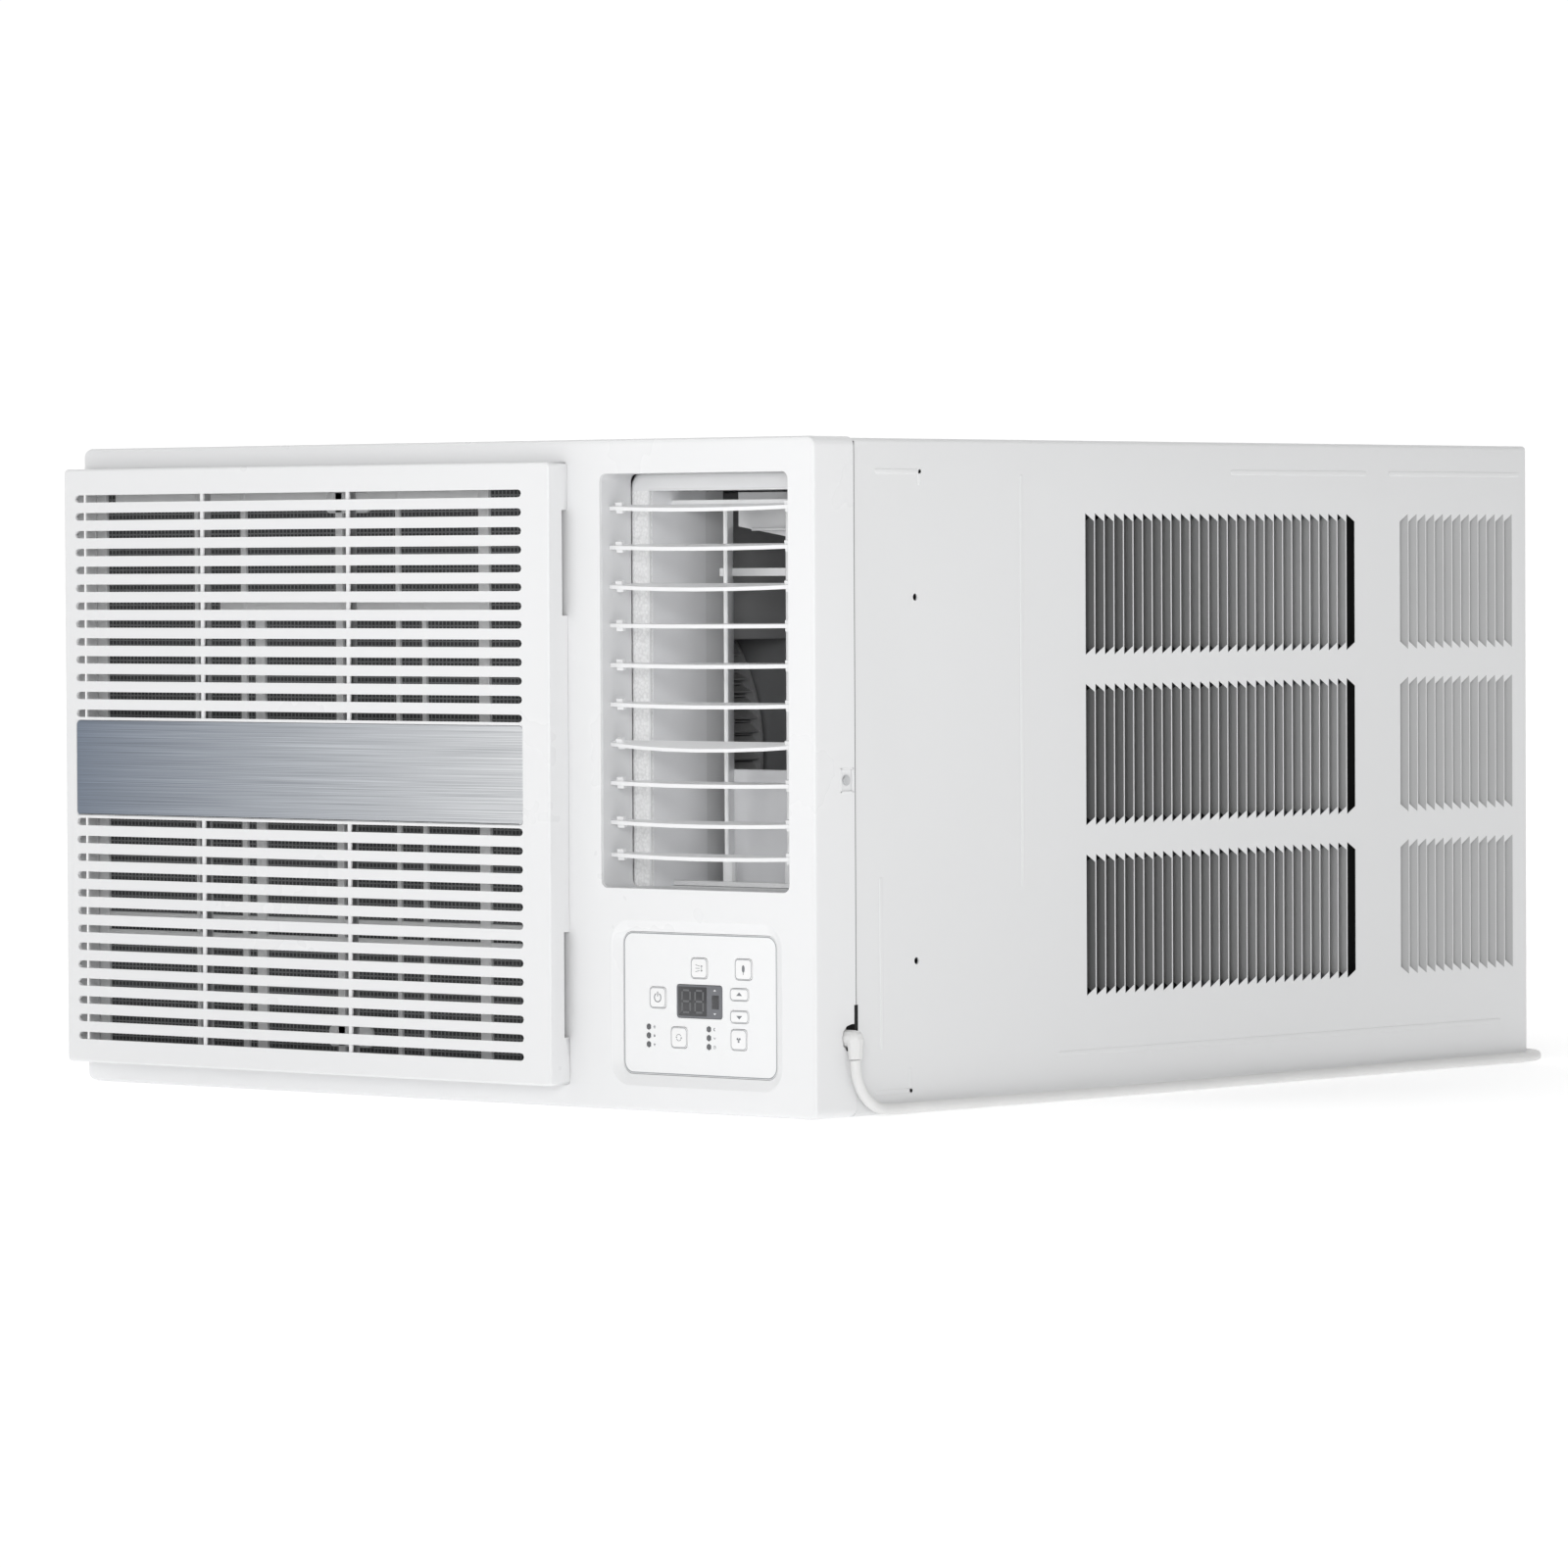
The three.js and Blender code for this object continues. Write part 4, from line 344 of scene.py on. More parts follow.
def streak_group():
    """Long thin lines along X, as a brush leaves them."""
    tree, given, result = new_group("brushed_lines", [("Along", 5.0), ("Across", 1500.0)], ["Mask", "Height"])
    where = place_on(tree)
    scale = add(tree, "ShaderNodeCombineXYZ", {"X": given["Along"], "Y": given["Across"], "Z": given["Across"]})
    drawn = add(tree, "ShaderNodeVectorMath", {0: where, 1: scale.outputs[0]}, operation="MULTIPLY")
    lines = add(tree, "ShaderNodeTexNoise", {"Vector": drawn.outputs[0], "Scale": 1.0, "Detail": 3.0})
    tree.links.new(remap(tree, lines.outputs[0], 0.0, 1.0, 0.25, 0.75), result["Mask"])
    tree.links.new(lines.outputs[0], result["Height"])
    return tree


def cell_group():
    """Round cells, as in moulded foam beads or the spangle of zinc."""
    tree, given, result = new_group("cells", [("Scale", 320.0)], ["Tone", "Height"])
    where = place_on(tree)
    cells = add(tree, "ShaderNodeTexVoronoi", {"Vector": where, "Scale": given["Scale"]})
    tone = add(tree, "ShaderNodeSeparateColor", {0: cells.outputs["Color"]})
    tree.links.new(tone.outputs[0], result["Tone"])
    tree.links.new(cells.outputs["Distance"], result["Height"])
    return tree


def dust_group():
    """Where dust settles: on what faces up, thicker in patches."""
    tree, given, result = new_group("settled_dust", [("Amount", 0.3)], ["Mask"])
    where = place_on(tree)
    facing = split(tree, add(tree, "ShaderNodeNewGeometry").outputs["Normal"])
    lying = remap(tree, facing["Z"], 0.0, 1.0, 0.3, 1.0)
    patch = add(tree, "ShaderNodeTexNoise", {"Vector": where, "Scale": 30.0, "Detail": 5.0})
    spread = calculate(tree, "MULTIPLY", lying, remap(tree, patch.outputs[0], 0.3, 1.0, 0.3, 0.7))
    tree.links.new(calculate(tree, "MULTIPLY", spread, given["Amount"]), result["Mask"])
    return tree


def wear_and_highlight_group():
    """The edges of a piece, lightened partly as rubbed wear and partly as a painted highlight, broken up by a noise.
    """
    tree, given, result = new_group("edge_wear_and_highlight", [("Amount", 0.5)], ["Mask"])
    where = place_on(tree)
    edge = add(tree, "ShaderNodeNewGeometry").outputs["Pointiness"]
    worn_or_lit = remap(tree, edge, 0.0, 1.0, 0.52, 0.6)
    broken = add(tree, "ShaderNodeTexNoise", {"Vector": where, "Scale": 120.0, "Detail": 4.0})
    spread = calculate(tree, "MULTIPLY", worn_or_lit, remap(tree, broken.outputs[0], 0.0, 1.0, 0.4, 0.65))
    tree.links.new(calculate(tree, "MULTIPLY", spread, given["Amount"]), result["Mask"])
    return tree


GROUPS = {}
FINISHES = {}
PALE_DUST = (0.62, 0.6, 0.57, 1.0)
SHEET_DUST = (0.42, 0.4, 0.37, 1.0)


def effect(tree, name, values):
    node = add(tree, "ShaderNodeGroup")
    node.node_tree = GROUPS[name]
    for key, value in values.items():
        node.inputs[key].default_value = value
    return node.outputs


def blank_material(name):
    material = bpy.data.materials.new(name)
    material.use_nodes = True
    tree = material.node_tree
    shader = next(n for n in tree.nodes if n.type == "BSDF_PRINCIPLED")
    FINISHES[name] = material
    return material, tree, shader


def bump(tree, height, strength, distance):
    return add(
        tree, "ShaderNodeBump", {"Height": height, "Strength": strength, "Distance": distance * MM},
    ).outputs["Normal"]


def tone(colour, share):
    return (colour[0] * share, colour[1] * share, colour[2] * share, 1.0)


def moulded(name, colour, roughness, metallic=0.0, cloud=9.0, pebble=1800.0, depth=0.02, dust=0.15, contrast=0.96,
            coat=0.0, specular=0.5, wear_and_highlight=0.0):
    """Plastic, rubber or paint: clouded colour, uneven gloss, pebbled height, dust above, and edges lightened partly
    as rubbed wear and partly as a painted highlight.
    """
    material, tree, shader = blank_material(name)
    grain = effect(tree, "moulded_grain", {"Cloud": cloud, "Pebble": pebble})
    ground = mix_colours(tree, grain["Mask"], tone(colour, contrast), tone(colour, 1.0))
    if wear_and_highlight:
        # Edges lightened 1.6 times: partly rubbed wear, partly painted highlight.
        worn_or_lit = effect(tree, "edge_wear_and_highlight", {"Amount": wear_and_highlight})["Mask"]
        ground = mix_colours(tree, worn_or_lit, ground, tone(colour, 1.6))
    settled = effect(tree, "settled_dust", {"Amount": dust})["Mask"]
    dusty = mix_colours(tree, settled, ground, PALE_DUST)
    fill(tree, shader, {
        "Base Color": dusty, "Roughness": remap(tree, grain["Mask"], roughness - 0.04, roughness + 0.05),
        "Metallic": metallic, "Coat Weight": coat, "Coat Roughness": 0.08, "Specular IOR Level": specular,
        "Normal": bump(tree, grain["Height"], depth, 0.4),
    })
    return material


def zinc(name, colour, roughness):
    """Galvanised sheet: patches of spangle that differ in tone and gloss."""
    tree, shader = blank_material(name)[1:]
    spangle = effect(tree, "cells", {"Scale": 110.0})
    ground = mix_colours(tree, spangle["Tone"], tone(colour, 0.82), tone(colour, 1.08))
    settled = effect(tree, "settled_dust", {"Amount": 0.4})["Mask"]
    fill(tree, shader, {
        "Base Color": mix_colours(tree, settled, ground, SHEET_DUST), "Metallic": 0.85,
        "Roughness": remap(tree, spangle["Tone"], roughness - 0.1, roughness + 0.12),
        "Normal": bump(tree, spangle["Height"], 0.05, 0.6),
    })


def brushed(name, cool, warm, left, right):
    """Brushed metal that is cooler at its left end and lighter at its right."""
    tree, shader = blank_material(name)[1:]
    lines = effect(tree, "brushed_lines", {"Along": 6.0, "Across": 1700.0})
    where = split(tree, place_on(tree))
    along = remap(tree, where["X"], 0.0, 1.0, left, right)
    sweep = mix_colours(tree, along, (*cool, 1.0), (*warm, 1.0))
    streaked = mix_colours(tree, lines["Mask"], (0.55, 0.56, 0.58, 1.0), (1.25, 1.25, 1.25, 1.0))
    shown = add(tree, "ShaderNodeMix", {0: 1.0, 6: sweep, 7: streaked}, data_type="RGBA", blend_type="MULTIPLY")
    fill(tree, shader, {
        "Base Color": shown.outputs[2], "Roughness": remap(tree, lines["Mask"], 0.3, 0.46), "Metallic": 0.55,
        "Normal": bump(tree, lines["Height"], 0.12, 0.3),
    })


def foam(name, colour):
    """Bead foam: pale cells with dark joins between them."""
    tree, shader = blank_material(name)[1:]
    beads = effect(tree, "cells", {"Scale": 480.0})
    joined = remap(tree, beads["Height"], 1.0, 0.0, 0.35, 0.8)
    mottled = calculate(tree, "MULTIPLY", joined, remap(tree, beads["Tone"], 0.55, 1.0))
    ground = mix_colours(tree, mottled, tone(colour, 0.84), tone(colour, 1.0))
    fill(tree, shader, {"Base Color": ground, "Roughness": 0.9, "Normal": bump(tree, joined, 0.25, 0.5)})


def shaded(name, colour, shares, places, roughness):
    """Paint with painted shade that changes along Y, from the first share of its colour at the first place to the
    second.
    """
    tree, shader = blank_material(name)[1:]
    where = split(tree, place_on(tree))
    along = remap(tree, where["Y"], 0.0, 1.0, *places)
    patch = effect(tree, "moulded_grain", {"Cloud": 14.0, "Pebble": 1300.0})["Mask"]
    along = calculate(tree, "MULTIPLY", along, remap(tree, patch, 0.9, 1.0))
    ground = mix_colours(tree, along, tone(colour, shares[0]), tone(colour, shares[1]))
    fill(tree, shader, {"Base Color": ground, "Roughness": roughness, "Normal": bump(tree, patch, 0.1, 0.3)})


def net(name, thread, hole, pitch):
    """A woven filter net: threads both ways over dark holes."""
    tree, shader = blank_material(name)[1:]
    where = split(tree, place_on(tree))
    waves = []
    for axis in ("X", "Z"):
        turns = calculate(tree, "MULTIPLY", where[axis], FULL_TURN / pitch)
        wave = add(tree, "ShaderNodeMath", {0: turns}, operation="SINE").outputs[0]
        waves.append(remap(tree, wave, 0.0, 1.0, 0.35, 0.9))
    woven = calculate(tree, "MAXIMUM", waves[0], waves[1])
    patch = effect(tree, "moulded_grain", {"Cloud": 14.0, "Pebble": 900.0})["Mask"]
    shown = calculate(tree, "MULTIPLY", woven, remap(tree, patch, 0.7, 1.0))
    fill(tree, shader, {
        "Base Color": mix_colours(tree, shown, (*hole, 1.0), (*thread, 1.0)),
        "Roughness": remap(tree, woven, 0.9, 0.5), "Normal": bump(tree, woven, 0.5, 0.3),
    })


def make_finishes(sizes):
    """The shader groups and then every material."""
    for group in (grain_group(), streak_group(), cell_group(), dust_group(), wear_and_highlight_group()):
        GROUPS[group.name] = group
    white = tuple(sizes.plastic_colour)
    paint = tuple(sizes.paint_colour)
    moulded("white_abs", white, 0.3, coat=0.15, depth=0.015, contrast=0.998, dust=0.0)
    moulded("louver_abs", tuple(1.03 * c for c in white), 0.32, depth=0.01, contrast=0.99, dust=0.04)
    moulded("duct_abs", (0.86, 0.865, 0.88), 0.5, depth=0.02, contrast=0.95)
    moulded("scroll_grey", (0.74, 0.745, 0.755), 0.5, depth=0.02, contrast=0.95)
    # Dark grey for the painted shade line along the seam.
    moulded("seam_painted_shade", (0.2, 0.2, 0.205), 0.7, contrast=0.9, dust=0.0)
    moulded("key_film", (0.9, 0.9, 0.9), 0.42, pebble=3200.0, depth=0.03, contrast=0.985, dust=0.03)
    moulded("panel_film", (0.87, 0.875, 0.88), 0.38, pebble=3000.0, depth=0.03, contrast=0.985, dust=0.03)
    moulded("printed_ink", (0.21, 0.22, 0.235), 0.5, contrast=0.85, dust=0.0)
    moulded("outline_ink", (0.36, 0.375, 0.39), 0.45, contrast=0.9, dust=0.0)
    moulded("dark_glass", (0.035, 0.036, 0.04), 0.12, cloud=40.0, depth=0.005, contrast=0.8, coat=0.6, dust=0.03)
    moulded("bezel_tint", (0.17, 0.175, 0.19), 0.32, contrast=0.9, dust=0.02)
    moulded("dim_segment", (0.15, 0.153, 0.16), 0.3, contrast=0.8, dust=0.0)
    moulded("lamp_lens", (0.13, 0.135, 0.145), 0.22, cloud=900.0, contrast=0.5, coat=0.5, dust=0.0)
    moulded("painted_sheet", paint, 0.4, cloud=5.0, pebble=1300.0, depth=0.05, contrast=0.99, coat=0.1, dust=0.02)
    # The wide vent fins carry painted shade: the sleeve's paint at 0.26 at the front of the vents, rising to 0.68 at
    # the rear.
    fins_start, fins_count = WIDE_VENT
    shaded("vent_fin_painted_shade", paint, (0.26, 0.68), (fins_start, fins_start + fins_count * VENT_PITCH), 0.45)
    # The narrow vent fins are the sleeve's paint darkened to 0.62, as painted shade.
    moulded("narrow_fin_painted_shade", tuple(0.62 * c for c in paint), 0.45, cloud=14.0, pebble=1300.0, depth=0.05, dust=0.1)
    zinc("zinc_sheet", (0.5, 0.52, 0.54), 0.45)
    zinc("fin_aluminium", (0.66, 0.68, 0.7), 0.4)
    moulded("copper_tube", (0.72, 0.3, 0.14), 0.3, metallic=1.0, cloud=45.0, contrast=0.6, dust=0.2)
    moulded("black_paint", (0.018, 0.018, 0.02), 0.42, depth=0.05, contrast=0.7, dust=0.35, wear_and_highlight=0.5)
    moulded("black_plastic", (0.05, 0.051, 0.054), 0.5, depth=0.05, contrast=0.75, dust=0.25)
    moulded("blower_plastic", (0.45, 0.452, 0.46), 0.5, depth=0.05, contrast=0.8, dust=0.25)
    moulded("grey_plastic", (0.34, 0.345, 0.355), 0.5, depth=0.04, contrast=0.92, dust=0.1)
    foam("bead_foam", (0.95, 0.953, 0.955))
    net("filter_net", (0.27, 0.275, 0.28), (0.085, 0.087, 0.09), 3.4 * MM)
    moulded("filter_frame", (0.92, 0.925, 0.93), 0.45, contrast=0.93)
    moulded("rubber", (0.02, 0.02, 0.02), 0.8, depth=0.1, contrast=0.7, dust=0.4)
    moulded("board_green", (0.03, 0.12, 0.055), 0.5, cloud=60.0, contrast=0.7)
    moulded("bright_steel", (0.62, 0.63, 0.64), 0.28, metallic=1.0, cloud=60.0, contrast=0.85, wear_and_highlight=0.3)
    moulded("cord_sheath", (0.8, 0.8, 0.795), 0.45, cloud=30.0, pebble=1400.0, depth=0.06, contrast=0.95)
    moulded("gap_shadow", (0.012, 0.012, 0.013), 0.9, contrast=0.6, dust=0.0)
    brushed("brushed_plate", sizes.plate_cool, sizes.plate_warm, low("accent_plate").x, high("accent_plate").x)


# ---- Sizes and colours that a user may change ----


class AirConditionerSizes(bpy.types.PropertyGroup):
    """Sizes and colours of the visual model. The frame sets everything else."""

    plastic_colour: bpy.props.FloatVectorProperty(
        name="Plastic", description="Colour of the front mouldings", default=(0.83, 0.834, 0.84),
        subtype="COLOR", size=3, min=0.0, max=1.0,
    )
    paint_colour: bpy.props.FloatVectorProperty(
        name="Sheet paint", description="Colour of the painted sleeve", default=(0.8, 0.805, 0.81),
        subtype="COLOR", size=3, min=0.0, max=1.0,
    )
    plate_cool: bpy.props.FloatVectorProperty(
        name="Plate, left", description="Cooler end of the brushed plate", default=(0.2, 0.235, 0.29),
        subtype="COLOR", size=3, min=0.0, max=1.0,
    )
    plate_warm: bpy.props.FloatVectorProperty(
        name="Plate, right", description="Lighter end of the brushed plate", default=(0.68, 0.69, 0.7),
        subtype="COLOR", size=3, min=0.0, max=1.0,
    )
    edge_round: bpy.props.FloatProperty(
        name="Edge round", description="Round on the edges of the mouldings", default=0.7 * MM,
        subtype="DISTANCE", unit="LENGTH", min=0.1 * MM, max=1.5 * MM,
    )
    vent_strip: bpy.props.FloatProperty(
        name="Vent strip", description="Width of the sheet left between two vent slots", default=0.75 * MM,
        subtype="DISTANCE", unit="LENGTH", min=0.5 * MM, max=4 * MM,
    )
    vent_slant: bpy.props.FloatProperty(
        name="Vent slant", description="How much shorter a slot's free edge is at each end", default=5.3 * MM,
        subtype="DISTANCE", unit="LENGTH", min=0.0, max=9 * MM,
    )
    wide_fin_turn: bpy.props.FloatProperty(
        name="Wide vent fin", description="How far the fins of the wide vents are pressed in",
        default=math.radians(82), subtype="ANGLE", unit="ROTATION", min=0.2, max=1.57,
    )
    narrow_fin_turn: bpy.props.FloatProperty(
        name="Narrow vent fin", description="How far the fins of the narrow vents are pressed in",
        default=math.radians(33), subtype="ANGLE", unit="ROTATION", min=0.2, max=1.57,
    )
    emboss: bpy.props.FloatProperty(
        name="Emboss", description="Height of the pressed lines on the sleeve", default=0.35 * MM,
        subtype="DISTANCE", unit="LENGTH", min=0.05 * MM, max=0.6 * MM,
    )
    fin_pitch: bpy.props.FloatProperty(
        name="Coil fin pitch", description="Distance between the fins of the coils", default=2.4 * MM,
        subtype="DISTANCE", unit="LENGTH", min=1.4 * MM, max=6 * MM,
    )
    key_light: bpy.props.FloatProperty(
        name="Key light", description="Power of the large softbox", default=15.5, unit="POWER", min=0.0,
    )
    sky: bpy.props.FloatProperty(name="Room light", description="Strength of the even light", default=1.05, min=0.0)


def sizes_of(context):
    return context.scene.air_conditioner


def made(operator):
    """What every operator returns when its pieces are in place."""
    return {"FINISHED"}


# ---- Stage ----

CAMERA_PLACE = (3.6808, -4.2112, 0.3495)
CAMERA_AZIMUTH = math.radians(41.31)
CAMERA_PITCH = math.radians(1.55)
CAMERA_ROLL = math.radians(-0.28)
CAMERA_LENS = 186.6
FLOOR_HALF = 60.0
PAPER_GLOW = 0.4
BRIGHT_WALL = (-0.9, 0.436, 0.0)
DIM_WALL = 0.23


class AC_OT_stage(bpy.types.Operator):
    """Sets up the camera, the pale floor, the gradient round it and the softbox"""

    bl_idname = "air_conditioner.stage"
    bl_label = "Studio"

    def execute(self, context):
        self.camera(context.scene)
        self.floor()
        self.lights(context.scene, sizes_of(context))
        context.scene.view_settings.view_transform = "Standard"
        context.scene.view_settings.look = "None"
        return made(self)

    def camera(self, scene):
        data = bpy.data.cameras.new("camera")
        data.sensor_width = 36.0
        data.lens = CAMERA_LENS
        data.clip_end = 60.0
        seen = bpy.data.objects.new("camera", data)
        ahead = Vector((
            -math.sin(CAMERA_AZIMUTH) * math.cos(CAMERA_PITCH),
            math.cos(CAMERA_AZIMUTH) * math.cos(CAMERA_PITCH),
            -math.sin(CAMERA_PITCH),
        ))
        right = ahead.cross(UP).normalized()
        above = right.cross(ahead)
        cosine, sine = math.cos(CAMERA_ROLL), math.sin(CAMERA_ROLL)
        axes = Matrix((cosine * right + sine * above, cosine * above - sine * right, -ahead)).transposed()
        seen.matrix_world = Matrix.Translation(CAMERA_PLACE) @ axes.to_4x4()
        scene.collection.objects.link(seen)
        scene.camera = seen

    def floor(self):
        """A wide flat sheet of paper, as pale as the room."""
        mesh = bmesh.new()
        bmesh.ops.create_grid(mesh, x_segments=1, y_segments=1, size=FLOOR_HALF)
        bmesh.ops.translate(mesh, vec=(0, 0, -0.5 * MM), verts=mesh.verts)
        data = bpy.data.meshes.new("studio_floor")
        mesh.to_mesh(data)
        mesh.free()
        paper = moulded(
            "studio_paper", (0.93, 0.93, 0.93), 0.8, cloud=0.6, pebble=300.0, depth=0.01, contrast=0.995, dust=0.0,
            specular=0.1,
        )
        shader = next(n for n in paper.node_tree.nodes if n.type == "BSDF_PRINCIPLED")
        shader.inputs["Emission Color"].default_value = (1.0, 1.0, 1.0, 1.0)
        shader.inputs["Emission Strength"].default_value = PAPER_GLOW
        data.materials.append(paper)
        ground = bpy.data.objects.new("studio_floor", data)
        bpy.context.scene.collection.objects.link(ground)

    def lights(self, scene, sizes):
        world = bpy.data.worlds.new("studio")
        world.use_nodes = True
        tree = world.node_tree
        background = tree.nodes["Background"]
        background.inputs["Color"].default_value = (1.0, 1.0, 1.0, 1.0)
        towards = add(
            tree, "ShaderNodeVectorMath", {0: add(tree, "ShaderNodeTexCoord").outputs["Generated"], 1: BRIGHT_WALL},
            operation="DOT_PRODUCT",
        )
        strength = remap(tree, towards.outputs["Value"], sizes.sky * DIM_WALL, sizes.sky, -1.0, 0.75)
        tree.links.new(strength, background.inputs["Strength"])
        scene.world = world
        self.softbox(scene, "key_softbox", (1.6, -2.05, 0.62), (0.2, -0.25, 0.22), 0.7, sizes.key_light)

    def softbox(self, scene, name, place, target, size, power):
        data = bpy.data.lights.new(name, "AREA")
        data.shape = "SQUARE"
        data.size = size
        data.energy = power
        lamp = bpy.data.objects.new(name, data)
        towards = (Vector(target) - Vector(place)).to_track_quat("-Z", "Y").to_matrix().to_4x4()
        lamp.matrix_world = Matrix.Translation(place) @ towards
        lamp.visible_camera = False
        scene.collection.objects.link(lamp)


# ---- Mains cord ----

CORD_DIAMETER = 7 * MM
CORD_SMOOTH = 8
TURN_STEPS = 40
COIL_OUTER = 42 * MM
COIL_INNER = 34.4 * MM
COIL_TOP_RING = 38.5 * MM
COIL_LAST_RING = 45.5 * MM
COIL_LOW = 3.9 * MM
COIL_NESTED = 10.0 * MM
COIL_HIGH = 10.9 * MM
PLUG_NECK = 13 * MM

# Each pin's places across and up from the plug's middle, its length and its radius, in millimetres.
PLUG_PINS = ((0, 5.5, 26, 4.02), (-12, -4.5, 20, 3.22), (12, -4.5, 20, 3.22))

# Down from the strain relief, round onto the floor, back along the sleeve, round its corner and to the coil.
CORD_ROUTE = [
    (0.3353, -0.3375, 0.0367), (0.3353, -0.3364, 0.0272), (0.3353, -0.3318, 0.0173), (0.3353, -0.3241, 0.0096),
    (0.3353, -0.3142, 0.005), (0.3353, -0.303, 0.0039), (0.3358, -0.2775, 0.0039), (0.3383, -0.1875, 0.0039),
    (0.3393, -0.0375, 0.0039), (0.3373, 0.1125, 0.0039), (0.3363, 0.2625, 0.0039), (0.3368, 0.3525, 0.0039),
    (0.3363, 0.3765, 0.0039), (0.3313, 0.3945, 0.0039), (0.3208, 0.4055, 0.0039), (0.3063, 0.4112, 0.0039),
    (0.2873, 0.412, 0.0039), (0.2553, 0.412, 0.0039), (0.216, 0.412, 0.0039),
]


def smooth_line(points, steps):
    """Points along a smooth curve through the given ones."""
    points = [Vector(p) for p in points]
    padded = [2 * points[0] - points[1], *points, 2 * points[-1] - points[-2]]
    line = []
    for a, b, c, d in zip(padded, padded[1:], padded[2:], padded[3:]):
        knots = [0.0]
        for start, stop in ((a, b), (b, c), (c, d)):
            knots.append(knots[-1] + max(1e-6, (stop - start).length) ** 0.5)
        for step in range(steps):
            t = knots[1] + (knots[2] - knots[1]) * step / steps
            ab = a.lerp(b, (t - knots[0]) / (knots[1] - knots[0]))
            bc = b.lerp(c, (t - knots[1]) / (knots[2] - knots[1]))
            cd = c.lerp(d, (t - knots[2]) / (knots[3] - knots[2]))
            abc = ab.lerp(bc, (t - knots[0]) / (knots[2] - knots[0]))
            bcd = bc.lerp(cd, (t - knots[1]) / (knots[3] - knots[1]))
            line.append(abc.lerp(bcd, (t - knots[1]) / (knots[2] - knots[1])))
    line.append(points[-1])
    return line


def eased_between(value, start, stop, first, last):
    """From first to last as value goes from start to stop, gently at both ends."""
    share = min(1.0, max(0.0, (value - start) / (stop - start)))
    share = share * share * (3 - 2 * share)
    return first + (last - first) * share


def coil_line(centre):
    """Three turns, by degrees turned: one outside and one inside on the floor, and one that lies on both."""
    line = []
    for step in range(1, 3 * TURN_STEPS + 1):
        turned = 360.0 * step / TURN_STEPS
        radius = eased_between(turned, 250, 350, COIL_OUTER, COIL_INNER)
        radius += eased_between(turned, 630, 750, 0, COIL_TOP_RING - COIL_INNER)
        radius += eased_between(turned, 790, 890, 0, COIL_OUTER - COIL_TOP_RING)
        radius += eased_between(turned, 980, 1060, 0, COIL_LAST_RING - COIL_OUTER)
        height = eased_between(turned, 540, 640, COIL_LOW, COIL_NESTED)
        height += eased_between(turned, 640, 670, 0, COIL_HIGH - COIL_NESTED)
        angle = math.radians(-90 - turned)
        line.append(Vector((
            centre.x + radius * math.cos(angle), centre.y + radius * math.sin(angle), height,
        )))
    return line


class AC_OT_cord(bpy.types.Operator):
    """Makes the mains cord with its coil, its plug and its strain relief"""

    bl_idname = "air_conditioner.cord"
    bl_label = "Mains cord"

    def execute(self, context):
        relief = softened("strain_relief", "cord_gland", "cord_sheath", 0.5 * MM, 3)
        plug = softened("plug", "mains_plug", "cord_sheath", 2.2 * MM, 4)
        pins = self.pins()
        line = smooth_line(CORD_ROUTE, CORD_SMOOTH) + coil_line(middle("cord_coil"))
        neck = Vector((high("plug").x - 1 * MM, middle("plug").y, PLUG_NECK))
        line += smooth_line([line[-1], line[-1].lerp(neck, 0.5), neck], 4)[1:]
        data = bpy.data.curves.new("mains_lead", "CURVE")
        data.dimensions = "3D"
        data.bevel_depth = CORD_DIAMETER / 2
        data.bevel_resolution = 5
        data.use_fill_caps = True
        spline = data.splines.new("POLY")
        spline.points.add(len(line) - 1)
        for point, place in zip(spline.points, line):
            point.co = (*place, 1.0)
        spline.use_smooth = True
        data.materials.append(FINISHES["cord_sheath"])
        lead = bpy.data.objects.new("mains_lead", data)
        context.scene.collection.objects.link(lead)
        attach(lead, "chassis")
        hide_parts("mains_cord", "cord_coil")
        return made(self)

    def pins(self):
        """Bright sleeves over the plug's three pins."""
        left, (_, y, z) = low("plug").x, middle("plug")
        mesh = bmesh.new()
        for across, up, length, radius in PLUG_PINS:
            start = Vector((left + (PLUG_PINS[0][2] - length) * MM, y + across * MM, z + up * MM))
            absorb(mesh, rod(start, start + Vector((length * MM, 0, 0)), radius * MM, 24))
        return piece("plug_pins", mesh, "bright_steel")


# ---- Front ----


SEAM_PROUD = 0.04 * MM
SLIT_HALF_WIDTH = 1.7 * MM
SLIT_BOTTOM, SLIT_TOP = 53.5 * MM, 71 * MM


